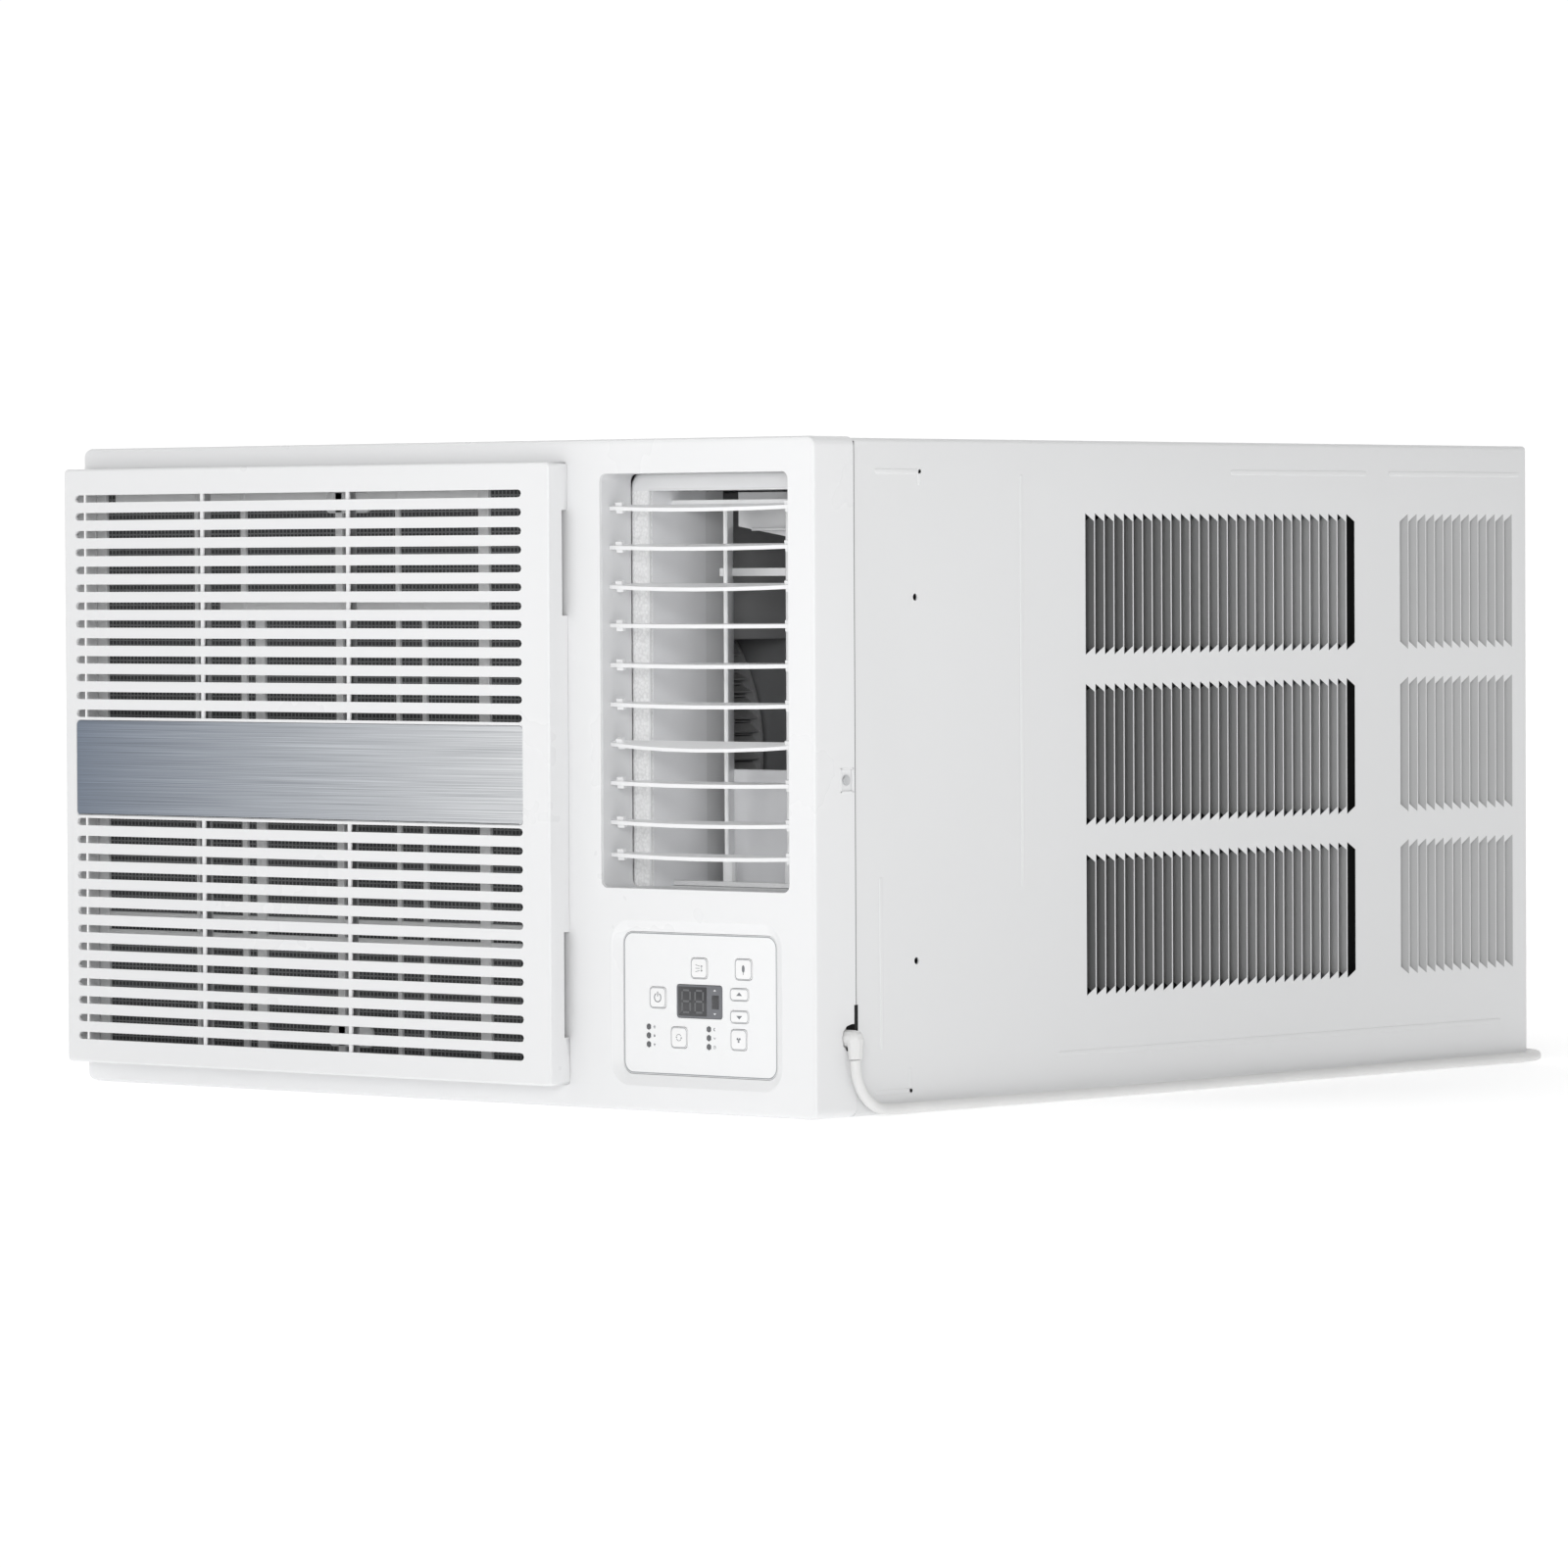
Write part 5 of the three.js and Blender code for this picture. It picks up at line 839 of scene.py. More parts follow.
class AC_OT_bezel(bpy.types.Operator):
    """Makes the front moulding with its eased edges and its side screw"""

    bl_idname = "air_conditioner.bezel"
    bl_label = "Front bezel"

    def execute(self, context):
        width = sizes_of(context).edge_round
        softened("front_bezel", "bezel_shell", "white_abs", width, 3)
        softened("bezel_screw_right", "bezel_screw", "bright_steel", 0.3 * MM)
        self.screw_tab()
        self.seam()
        return made(self)

    def screw_tab(self):
        """The little raised frame round the side screw."""
        screw = middle("bezel_screw_right")
        face = high("front_bezel").x
        half_width, half_height, lip = 6.2 * MM, 7.8 * MM, 0.9 * MM
        mesh = bmesh.new()
        for low_y, high_y, low_z, high_z in rims(-half_width, half_width, -half_height, half_height, lip, lip):
            absorb(mesh, rounded_box(
                (face - 1.1 * MM, screw.y + low_y, screw.z + low_z),
                (face + 0.15 * MM, screw.y + high_y, screw.z + high_z), X, 0.2 * MM, 2, 0.1 * MM,
            ))
        piece("screw_tab", mesh, "white_abs")

    def seam(self):
        """Painted shadow in the joint where the moulding meets the sleeve: a black sheet inside the wall, a black
        filler in the slit below, and a dark line along the joint above it.
        """
        face, seam, top = high("front_bezel")
        wall, _, roof = high("cabinet")
        inner, face = wall - 1.6 * MM, face + SEAM_PROUD
        mesh = bmesh.new()
        absorb(mesh, box((inner - 0.6 * MM, seam - 6 * MM, 8 * MM), (inner, seam + 3 * MM, roof - 8 * MM)))
        absorb(mesh, box((inner, seam - SLIT_HALF_WIDTH, SLIT_BOTTOM), (face, seam + SLIT_HALF_WIDTH, SLIT_TOP)))
        piece("seam_shadow_block", mesh, "gap_shadow")
        # A dark line of painted shade along the joint above the slit.
        edge = box((wall - 0.6 * MM, seam - 0.2 * MM, SLIT_TOP), (face, seam + 0.4 * MM, top - 3 * MM))
        piece("seam_shade_line", edge, "seam_painted_shade")


SLOT_PITCH = 12.1 * MM
SLOT_HEIGHT = 5 * MM
SLOTS_PER_BANK = 13
SLOT_PLATE_MARGIN = 4.7 * MM
SLOT_CLEAR = 0.06 * MM
POST_PLACES = (-198.4 * MM, -62.4 * MM)
POST_HALF_WIDTH = 1.5 * MM
POST_FOOT, POST_HEAD = 15.5 * MM, 414.5 * MM


class AC_OT_grille(bpy.types.Operator):
    """Makes the hinged intake grille and its brushed plate"""

    bl_idname = "air_conditioner.grille"
    bl_label = "Intake grille"

    def execute(self, context):
        panel = cut(merged_copy("intake_grille", whole=False), self.flares(sizes_of(context).edge_round))
        piece("grille_panel", panel, "white_abs", ["intake_grille"], "grille", even=True)
        softened("accent_plate", "brushed_band", "brushed_plate", 0.35 * MM, body="grille")
        self.plate_rim()
        self.posts()
        return made(self)

    def posts(self):
        """Upright bars just behind the front of the slots, above and below the plate."""
        lower, upper = low("accent_plate"), high("accent_plate")
        front = low("intake_grille").y
        mesh = bmesh.new()
        for x in POST_PLACES:
            for z0, z1 in ((POST_FOOT, lower.z - 1 * MM), (upper.z + 1 * MM, POST_HEAD)):
                absorb(mesh, rounded_box(
                    (x - POST_HALF_WIDTH, front + 0.8 * MM, z0), (x + POST_HALF_WIDTH, front + 2.4 * MM, z1),
                    Z, 0.4 * MM, 3,
                ))
        piece("grille_posts", mesh, "white_abs", body="grille")

    def flares(self, width):
        """What eases the front edge of every slot: the slot's outline, wider towards the front."""
        lower, upper = low("accent_plate"), high("accent_plate")
        plate_middle, front = (lower.z + upper.z) / 2, low("intake_grille").y
        flares = bmesh.new()
        for number in range(SLOTS_PER_BANK):
            away = (upper.z - lower.z) / 2 + SLOT_PLATE_MARGIN + number * SLOT_PITCH
            for z in (plate_middle + away, plate_middle - away):
                absorb(flares, self.flare(lower.x, upper.x, z, front, width))
        return flares

    def flare(self, x0, x1, z, front, width):
        """One slot's flare, kept just clear of the slot's own walls."""
        x0, x1, radius = x0 + SLOT_CLEAR, x1 - SLOT_CLEAR, SLOT_HEIGHT / 2 - SLOT_CLEAR
        slot = rounded_box(
            (x0, front + width, z - radius), (x1, front + width + 0.3 * MM, z + radius), Y, 0.97 * radius, 6,
        )
        for step, grow in (
            (0.55 * width, 0.2 * width + SLOT_CLEAR), (0.3 * width, 0.3 * width), (0.15 * width, 0.5 * width),
            (0.5 * MM, 0.0),
        ):
            face = min(slot.faces, key=lambda f: f.calc_center_median().y)
            geometry = bmesh.ops.extrude_face_region(slot, geom=[face])["geom"]
            for vertex in geometry:
                if isinstance(vertex, bmesh.types.BMVert):
                    spine = Vector((min(x1 - radius, max(x0 + radius, vertex.co.x)), vertex.co.y, z))
                    vertex.co += (vertex.co - spine).normalized() * grow + Vector((0, -step, 0))
        bmesh.ops.recalc_face_normals(slot, faces=slot.faces)
        return slot

    def plate_rim(self):
        """A thin bright edge along the foot of the plate."""
        lower, upper = low("accent_plate"), high("accent_plate")
        mesh = rounded_box(
            (lower.x + 3 * MM, lower.y, lower.z - 0.05 * MM),
            (upper.x - 3 * MM, lower.y + 1 * MM, lower.z + 1.1 * MM), X, 0.3 * MM, 3,
        )
        piece("plate_edge", mesh, "bright_steel", body="grille")


# The filter's bars in millimetres: place and width, and the two ends of those that lie across.
FILTER_UPRIGHTS = [(-222.0, 3.5), (-177.5, 5.0), (-88.0, 6.5), (-34.5, 3.7), (43.5, 9.5)]
FILTER_SHORT_UPRIGHTS = [(-162.0, 9.0), (-10.5, 4.0)]
FILTER_CROSS_BARS = [
    (396.5, 6.0, -300.0, 46.0), (323.0, 6.0, -200.0, 46.0), (214.0, 4.0, -314.0, 108.0),
    (114.5, 3.0, -314.0, 108.0), (102.5, 3.0, -314.0, 108.0),
]


class AC_OT_filter(bpy.types.Operator):
    """Makes the air filter: a pale frame with ribs and a pull tab, over a dark woven net"""

    bl_idname = "air_conditioner.filter"
    bl_label = "Air filter"

    def execute(self, context):
        lower, upper = low("air_filter"), high("air_filter")
        edge = 6 * MM
        mesh = bmesh.new()
        for x0, x1, z0, z1 in rims(lower.x, upper.x, lower.z, upper.z, edge, 1.5 * edge):
            absorb(mesh, rounded_box((x0, lower.y, z0), (x1, upper.y, z1), Y, 1 * MM, 3, 0.4 * MM))
        long_top, short_top = upper.z - edge / 2, FILTER_CROSS_BARS[1][0] * MM
        for bars, top in ((FILTER_UPRIGHTS, long_top), (FILTER_SHORT_UPRIGHTS, short_top)):
            for x, width in bars:
                absorb(mesh, rounded_box(
                    ((x - width / 2) * MM, lower.y, lower.z + edge / 2),
                    ((x + width / 2) * MM, upper.y - 0.4 * MM, top), Y, 0.6 * MM, 2, 0.4 * MM,
                ))
        for z, height, x0, x1 in FILTER_CROSS_BARS:
            absorb(mesh, rounded_box(
                (x0 * MM, lower.y + 0.4 * MM, (z - height / 2) * MM),
                (x1 * MM, upper.y - 0.6 * MM, (z + height / 2) * MM), Y, 0.5 * MM, 2, 0.3 * MM,
            ))
        for z in (upper.z - 24 * MM, lower.z + 10 * MM):
            absorb(mesh, rounded_box(
                (-100 * MM, lower.y, z), (-60 * MM, upper.y - 0.5 * MM, z + 14 * MM), Y, 4 * MM, 6, 0.6 * MM,
            ))
        piece("filter_frame", mesh, "filter_frame")
        depth, inset = middle("air_filter").y, 2 * MM
        net_sheet = rounded_box(
            (lower.x + inset, depth + 0.3 * MM, lower.z + inset),
            (upper.x - inset, depth + 0.7 * MM, upper.z - inset), Y, 1 * MM, 3, 0.1 * MM,
        )
        piece("filter_net", net_sheet, "filter_net", ["air_filter"])
        return made(self)


# ---- Discharge opening ----


class AC_OT_louvers(bpy.types.Operator):
    """Makes the ten bowed blades across the discharge opening"""

    bl_idname = "air_conditioner.louvers"
    bl_label = "Horizontal louvers"

    def execute(self, context):
        nodes = sorted((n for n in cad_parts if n.startswith("louver_")), key=lambda n: int(n.split("_")[1]))
        for number, node in enumerate(nodes, 1):
            softened(node, f"louver_blade_{number}", "louver_abs", 1.1 * MM, 3, f"blade_{number}")
        return made(self)


LOUVER_PIN = 2 * MM
DUCT_WALL = 16 * MM
OPENING_DEPTH = 29.9 * MM
FOAM_FRONT = 30.1 * MM
TONGUE_LEFT = 182 * MM
TONGUE_RIGHT = 299 * MM
TONGUE_TOP, BAFFLE_BOTTOM = 217 * MM, 300 * MM

# The swing motor's plate and its two ledges: low corner, high corner, and the round of their edges.
BRACKET_PLATE = (191 * MM, -283.5 * MM, 367 * MM), (234 * MM, -281.5 * MM, 396 * MM)
BRACKET_CUT, BRACKET_CUT_RISE = (200 * MM, 380 * MM), 7 * MM
BRACKET_LEDGES = (
    ((191 * MM, -287 * MM, 386 * MM), (236 * MM, -281 * MM, 390 * MM), 1 * MM),
    ((206 * MM, -288 * MM, 371 * MM), (236 * MM, -282 * MM, 373 * MM), 0.8 * MM),
)


class AC_OT_duct(bpy.types.Operator):
    """Makes the bead foam duct, its lining, the upright vanes, and their swing drive"""

    bl_idname = "air_conditioner.duct"
    bl_label = "Duct and vanes"

    def execute(self, context):
        self.lining()
        softened("vane_carrier", "vane_rails", "louver_abs", 0.5 * MM)
        for node, body in (("vane_1", "vane_a"), ("vane_2", "vane_b")):
            softened(node, node + "_blade", "louver_abs", 0.6 * MM, 3, body)
        softened("swing_link", "link_bar", "louver_abs", 0.5 * MM, body="link")
        softened("swing_crank", "crank_arm", "black_plastic", 0.4 * MM, body="crank")
        softened("swing_motor", "swing_drive", "bright_steel", 0.8 * MM, 3)
        self.motor_bracket()
        return made(self)

    def motor_bracket(self):
        """The white plate that holds the swing motor, with one corner cut away."""
        mesh = box(*BRACKET_PLATE)
        for vertex in mesh.verts:
            if vertex.co.x < BRACKET_CUT[0] and vertex.co.z < BRACKET_CUT[1]:
                vertex.co.z += BRACKET_CUT_RISE
        for low_corner, high_corner, radius in BRACKET_LEDGES:
            absorb(mesh, rounded_box(low_corner, high_corner, X, radius, 3))
        piece("swing_bracket", mesh, "louver_abs")

    def lining(self):
        """Smooth grey walls inside the opening and inside the foam."""
        lower, upper = low("discharge_duct"), high("discharge_duct")
        duct_front, duct_rear = lower.y + 0.6 * MM, upper.y
        left, right = lower.x + DUCT_WALL, upper.x - DUCT_WALL
        floor, ceiling = lower.z + DUCT_WALL, upper.z - DUCT_WALL
        mesh = bmesh.new()
        skin = 0.25 * MM
        absorb(mesh, box((left - 0.1 * MM, duct_front, floor), (left + skin, duct_rear, ceiling)))
        absorb(mesh, box((right - skin, duct_front, floor), (right + 0.1 * MM, duct_rear, ceiling)))
        piece("duct_lining", mesh, "duct_abs")
        self.foam_body(left, right, floor, ceiling)
        behind = box((left - 1 * MM, duct_rear, floor), (left + skin, duct_rear + 17 * MM, ceiling))
        piece("scroll_lip", behind, "scroll_grey")
        self.scroll_mouth(left, floor, ceiling, duct_rear)
        self.opening_lining()

    def opening_lining(self):
        """A thin grey skin round the inside of the opening."""
        x0, x1 = low("louver_1").x + LOUVER_PIN, high("louver_1").x - LOUVER_PIN
        front, rear = bezel_face() + 2.2 * MM, bezel_face() + OPENING_DEPTH
        z0, z1 = low("discharge_duct").z + DUCT_WALL, high("discharge_duct").z - 5 * MM
        skin = 0.15 * MM
        ring = rounded_box((x0 - skin, front, z0 - skin), (x1 + skin, rear, z1 + skin), Y, 5.1 * MM, 6)
        hole = rounded_box(
            (x0 + skin, front - 1 * MM, z0 + skin), (x1 - skin, rear + 1 * MM, z1 - skin), Y, 4.9 * MM, 6,
        )
        piece("opening_lining", cut(ring, hole), "scroll_grey")

    def foam_body(self, left, right, floor, ceiling):
        """The bead foam duct with its soft front edge, its smooth white head, and a thin white lip inside."""
        lower, upper = low("discharge_duct").copy(), high("discharge_duct").copy()
        reach = 1 * MM
        past = Vector((reach,) * 3)
        lower.y = bezel_face() + FOAM_FRONT
        lower.x -= 5 * MM
        body = rounded_box(lower, upper, Y, 15 * MM, 10, 9 * MM, 8)
        head = cut(body.copy(), box(lower - past, (*(upper + past).xy, ceiling)))
        piece("duct_header", head, "white_abs", even=True)
        body = cut(body, box((*(lower - past).xy, ceiling), upper + past))
        bore = box((left, lower.y - reach, floor), (right, upper.y + reach, ceiling + reach))
        piece("duct_foam", cut(body, bore), "bead_foam", ["discharge_duct"], even=True)
        lip = rounded_box(
            (left - 1.3 * MM, lower.y - 0.3 * MM, floor + 0.5 * MM),
            (right + 1.3 * MM, lower.y + 1 * MM, ceiling + 1.3 * MM), Y, 1 * MM, 4, 0.3 * MM,
        )
        hole = box((left + 0.2 * MM, lower.y - reach, floor - 1 * MM), (right - 0.2 * MM, lower.y + 2 * MM, ceiling))
        piece("duct_lip", cut(lip, hole), "white_abs")

    def scroll_mouth(self, left, floor, ceiling, duct_rear):
        """The pale tongue below the blower's mouth and the dark baffle above it."""
        rear = high("blower_scroll").y - 4 * MM
        tongue = rounded_box(
            (TONGUE_LEFT, duct_rear + 2 * MM, floor),
            (TONGUE_RIGHT, duct_rear + 4.5 * MM, TONGUE_TOP), X, 1.2 * MM, 4,
        )
        piece("scroll_tongue", tongue, "duct_abs")
        baffle = rounded_box(
            (left - 43 * MM, duct_rear + 1 * MM, BAFFLE_BOTTOM), (left - 40 * MM, rear, ceiling), Y, 1.4 * MM, 4,
        )
        piece("scroll_baffle", baffle, "blower_plastic")


# ---- Control panel ----

INK = 0.06 * MM
FACE_LIFT = 0.02 * MM
KEYS = ("swing", "energy", "power", "temperature_up", "temperature_down", "mode", "fan_speed")
KEY_FLANGE = 1 * MM
TALL_KEY = 10.0
TALL_KEY_ROUND, SHORT_KEY_ROUND = 3.0, 2.4
FULL_LINE, KEY_LINE = 0.75, 0.42
PANEL_ROUND = 7.6
ARROW_WIDE, ARROW_TALL = 1.5, 0.8

# Each mark is a list of strokes: the name of a Stamp method, and what it is given.
MARKS = {
    "swing": [
        ("bar", -1.2, -1.8, 3.6, 0.35, -0.216), ("bar", -1.2, 0, 3.6, 0.35), ("bar", -1.2, 1.8, 3.6, 0.35, 0.216),
        ("up", 2.2, 1.5, 0.8), ("down", 2.2, -1.5, 0.8), ("bar", 2.2, 0, 2.4, 0.32, UPRIGHT),
    ],
    "energy": [("disc", 0, 0.4, 1.9, 0.62, 1.25, 26), ("bar", 0, -2.6, 1.6, 0.35, UPRIGHT)],
    "power": [("ring", 2.45, 3.1, math.radians(118), math.radians(304), 30), ("bar", 0, 2.3, 3.2, 0.65, UPRIGHT)],
    "temperature_up": [("up", 0, 0, 1.9)],
    "temperature_down": [("down", 0, 0, 1.9)],
    "mode": [
        *(("ring", 1.9, 2.25, start * math.pi, 0.7 * math.pi, 16) for start in (0.15, 1.15)),
        ("up", 2.05, -0.2, 0.7), ("down", -2.05, 0.2, 0.7),
    ],
    "fan_speed": [("fan", 2.2)],
    "frost": [("bar", 0, 0, 2.4, 0.26, turn * math.pi / 3) for turn in range(3)],
    "drop": [("disc", 0, -0.2, 0.7), ("disc", 0, 0.5, 0.62, 0.9, 1.2, 3)],
    "fan": [("fan", 1.1)],
    "moon": [("ring", 0.45, 1.05, 0.35 * math.pi, 1.3 * math.pi, 16)],
    "pulse": [("bar", -0.5, 0, 1.4, 0.3, 0.9), ("bar", 0.4, 0, 1.4, 0.3, -0.9)],
    "clock": [("ring", 0.85, 1.1), ("bar", 0, 0.35, 0.8, 0.22, UPRIGHT), ("bar", 0.28, 0, 0.7, 0.22)],
}
LIGHT_MARKS = (("frost", "drop", "fan"), ("moon", "pulse", "clock"))
LIGHT_COLUMNS = (21.4 * MM, 73.0 * MM)
LIGHT_ROWS = (30.4 * MM, 24.8 * MM, 19.1 * MM)
LIGHT_TO_MARK = 5 * MM
LENS = [(0, -0.25 * MM), (1.2 * MM, -0.22 * MM), (1.8 * MM, 0), (1.8 * MM, 1.5 * MM), (0, 1.5 * MM)]

# A digit's strokes: the side and the level of its middle, and whether it stands upright.
SEGMENTS = (
    (0, 1, False), (0, 0, False), (0, -1, False), (-1, 0.5, True), (1, 0.5, True), (-1, -0.5, True), (1, -0.5, True),
)
DIGIT_HALF_WIDTH, DIGIT_HALF_HEIGHT, DIGIT_STROKE = 3.4, 7.0, 1.25
DIGIT_PLACES = (6.9 * MM, 18 * MM)
GLASS_EDGE, GLASS_END, GLASS_PROUD = 1.2 * MM, 25.6 * MM, 0.08 * MM
SENSOR_INSET, SENSOR_HALF_WIDTH, SENSOR_HALF_HEIGHT = 5.6 * MM, 3 * MM, 4.4 * MM


class Stamp:
    """Flat printed shapes round a point on a face. Sizes are in millimetres and turns are about Y."""

    def __init__(self, mesh, x, z, face):
        self.mesh, self.place = mesh, Vector((x, face, z))

    def bar(self, x, z, length, width, turn=0.0):
        reach, half = length * MM / 2, width * MM / 2
        there = Matrix.Translation(self.place + Vector((x * MM, 0, z * MM)))
        absorb(self.mesh, box((-reach, -INK, -half), (reach, INK / 2, half)), there @ Matrix.Rotation(turn, 4, "Y"))

    def disc(self, x, z, radius, wide=1.0, tall=1.0, sides=20, turn=0.0):
        """A dot, or a polygon of a few sides."""
        dot = bmesh.new()
        bmesh.ops.create_cone(
            dot, cap_ends=True, cap_tris=False, segments=sides, radius1=radius * MM, radius2=radius * MM,
            depth=1.5 * INK,
        )
        there = Matrix.Translation(self.place + Vector((x * MM, -INK / 4, z * MM)))
        turned = Matrix.Rotation(turn, 4, "Y") @ Matrix.Rotation(UPRIGHT, 4, "X")
        absorb(self.mesh, dot, there @ Matrix.Diagonal((wide, 1, tall, 1)) @ turned)

    def ring(self, inner, outer, start=0.0, sweep=FULL_TURN, steps=28, x=0.0, z=0.0):
        """A whole ring, or an arc measured from the right and up over the top."""
        full = sweep == FULL_TURN
        centre = self.place + Vector((x * MM, 0, z * MM))
        arc = bmesh.new()
        section = arc.faces.new([
            arc.verts.new(centre + Vector((radius * MM, depth, 0)))
            for radius, depth in ((inner, -INK), (outer, -INK), (outer, INK / 2), (inner, INK / 2))
        ])
        bmesh.ops.rotate(arc, verts=arc.verts, cent=centre, matrix=Matrix.Rotation(-start, 3, "Y"))
        swept = [*section.edges, *section.verts] if full else [section, *section.edges, *section.verts]
        bmesh.ops.spin(
            arc, geom=swept, cent=centre, axis=(0, 1, 0), dvec=(0, 0, 0), angle=-sweep, steps=steps,
            use_merge=full, use_normal_flip=False, use_duplicate=False,
        )
        if full:
            bmesh.ops.delete(arc, geom=[section], context="FACES_ONLY")
            bmesh.ops.remove_doubles(arc, verts=arc.verts, dist=NO_LENGTH)
        bmesh.ops.recalc_face_normals(arc, faces=arc.faces)
        absorb(self.mesh, arc)

    def outline(self, wide, tall, radius, width):
        """A line round an area with round corners."""
        across, up = wide / 2, tall / 2
        for side in (-1, 1):
            self.bar(0, side * (up - width / 2), wide - 2 * radius, width)
            self.bar(side * (across - width / 2), 0, tall - 2 * radius, width, UPRIGHT)
        for quarter, (x, z) in enumerate(((1, 1), (-1, 1), (-1, -1), (1, -1))):
            corner = x * (across - radius), z * (up - radius)
            self.ring(radius - width, radius, quarter * UPRIGHT, UPRIGHT, 8, *corner)

    def up(self, x, z, size, turn=0.0):
        self.disc(x, z, size, ARROW_WIDE, ARROW_TALL, 3, turn)

    def down(self, x, z, size):
        self.up(x, z, size, math.pi)

    def fan(self, size):
        """A hub and three round blades."""
        self.disc(0, 0, 0.18 * size)
        for blade in range(3):
            angle = FULL_TURN * blade / 3 + 0.5
            self.disc(0.5 * size * math.cos(angle), 0.5 * size * math.sin(angle), 0.34 * size, sides=14)

    def draw(self, mark):
        for shape, *given in MARKS[mark]:
            getattr(self, shape)(*given)


class AC_OT_controls(bpy.types.Operator):
    """Makes the control panel with its keys, marks, display and lights"""

    bl_idname = "air_conditioner.controls"
    bl_label = "Controls"

    def execute(self, context):
        face = low("control_panel").y
        softened("control_panel", "panel_plate", "panel_film", 0.3 * MM)
        line, centre = bmesh.new(), middle("control_panel")
        size = (high("control_panel") - low("control_panel")) / MM
        Stamp(line, centre.x, centre.z, face).outline(size.x - 0.7, size.z - 0.7, PANEL_ROUND, FULL_LINE)
        piece("panel_outline", line, "outline_ink")
        for name in KEYS:
            self.key(name)
        self.lights(face)
        self.display()
        return made(self)

    def key(self, name):
        """A key with round corners, its grey outline, and its mark."""
        node, body = name + "_key", name + "_button"
        lower, upper, centre = low(node), high(node), middle(node)
        flange = Vector((KEY_FLANGE, 0, KEY_FLANGE))
        size = (upper - lower - 2 * flange) / MM
        radius = TALL_KEY_ROUND if size.z > TALL_KEY else SHORT_KEY_ROUND
        cap = rounded_box(lower + flange, upper - flange, Y, radius * MM, 8, 0.18 * MM, 3)
        absorb(cap, rounded_box(
            (lower.x, upper.y - 3 * MM, lower.z), (upper.x, upper.y - 1.8 * MM, upper.z), Y, radius * MM, 5,
        ))
        piece(node + "_cap", cap, "key_film", [node], body)
        line, mark = bmesh.new(), bmesh.new()
        face = lower.y - FACE_LIFT
        Stamp(line, centre.x, centre.z, face).outline(size.x - 0.5, size.z - 0.5, radius - 0.25, KEY_LINE)
        piece(node + "_outline", line, "outline_ink", body=body)
        Stamp(mark, centre.x, centre.z, face).draw(name)
        piece(node + "_mark", mark, "printed_ink", body=body)

    def lights(self, face):
        corner = low("control_panel")
        lenses, marks = bmesh.new(), bmesh.new()
        for across, column in zip(LIGHT_COLUMNS, LIGHT_MARKS):
            for up, mark in zip(LIGHT_ROWS, column):
                x, z = corner.x + across, corner.z + up
                absorb(lenses, lathe(LENS, (x, face, z), Y, 24))
                Stamp(marks, x + LIGHT_TO_MARK, z, face).draw(mark)
        piece("light_lenses", lenses, "lamp_lens")
        piece("light_marks", marks, "printed_ink")
        softened("light_guide", "light_guide_bar", "lamp_lens", 0.2 * MM)

    def display(self):
        lower, upper, centre = low("display_window"), high("display_window"), middle("display_window")
        front = lower.y
        piece(
            "display_surround", rounded_box(lower, upper, Y, 2 * MM, 6, 0.2 * MM), "bezel_tint",
            ["display_window"],
        )
        left, sensor = lower.x + GLASS_EDGE, upper.x - SENSOR_INSET
        glass = rounded_box(
            (left, front - GLASS_PROUD, lower.z + GLASS_EDGE),
            (lower.x + GLASS_END, front + 1 * MM, upper.z - GLASS_EDGE), Y, 0.7 * MM, 4, 0.05 * MM,
        )
        absorb(glass, rounded_box(
            (sensor - SENSOR_HALF_WIDTH, front - GLASS_PROUD, centre.z - SENSOR_HALF_HEIGHT),
            (sensor + SENSOR_HALF_WIDTH, front + 1 * MM, centre.z + SENSOR_HALF_HEIGHT), Y, 0.3 * MM, 2, 0.04 * MM,
        ))
        piece("display_glass", glass, "dark_glass")
        digits, marks = bmesh.new(), bmesh.new()
        for place in DIGIT_PLACES:
            digit = Stamp(digits, left + place, centre.z, front - 0.1 * MM)
            for side, level, upright in SEGMENTS:
                length = (DIGIT_HALF_HEIGHT if upright else 2 * DIGIT_HALF_WIDTH) - 1.3 * DIGIT_STROKE
                turn = UPRIGHT if upright else 0.0
                digit.bar(side * DIGIT_HALF_WIDTH, level * DIGIT_HALF_HEIGHT, length, DIGIT_STROKE, turn)
        piece("display_digits", digits, "dim_segment")
        beside = Stamp(marks, sensor - 0.5 * MM, centre.z, front - 0.03 * MM)
        beside.up(0, 7.4, 0.9)
        beside.down(0, -7.4, 0.9)
        piece("display_marks", marks, "panel_film")


# ---- Sleeve ----

VENT_PITCH = 10 * MM
VENT_ROWS = [(66.7 + 111.3 * row) * MM for row in range(3)]
VENT_HEIGHT = 92.5 * MM
WIDE_VENT = (-98.5 * MM, 29)
NARROW_VENT = (241.5 * MM, 13)
SHEET = 1.2 * MM
VENT_SKIN = 0.3 * MM
SKIN_DEPTH = 4 * MM
FIN_THICKNESS = 0.8 * MM
REAR_FLANGE = 20 * MM
HOLE_RADIUS = 2.3 * MM
# How far in the black plates of painted shadow stand behind the last wide slots.
SHADOW_PLATE_NEAR, SHADOW_PLATE_FAR = 7.5 * MM, 9 * MM
LINE_HALF_WIDTH = 1.6 * MM

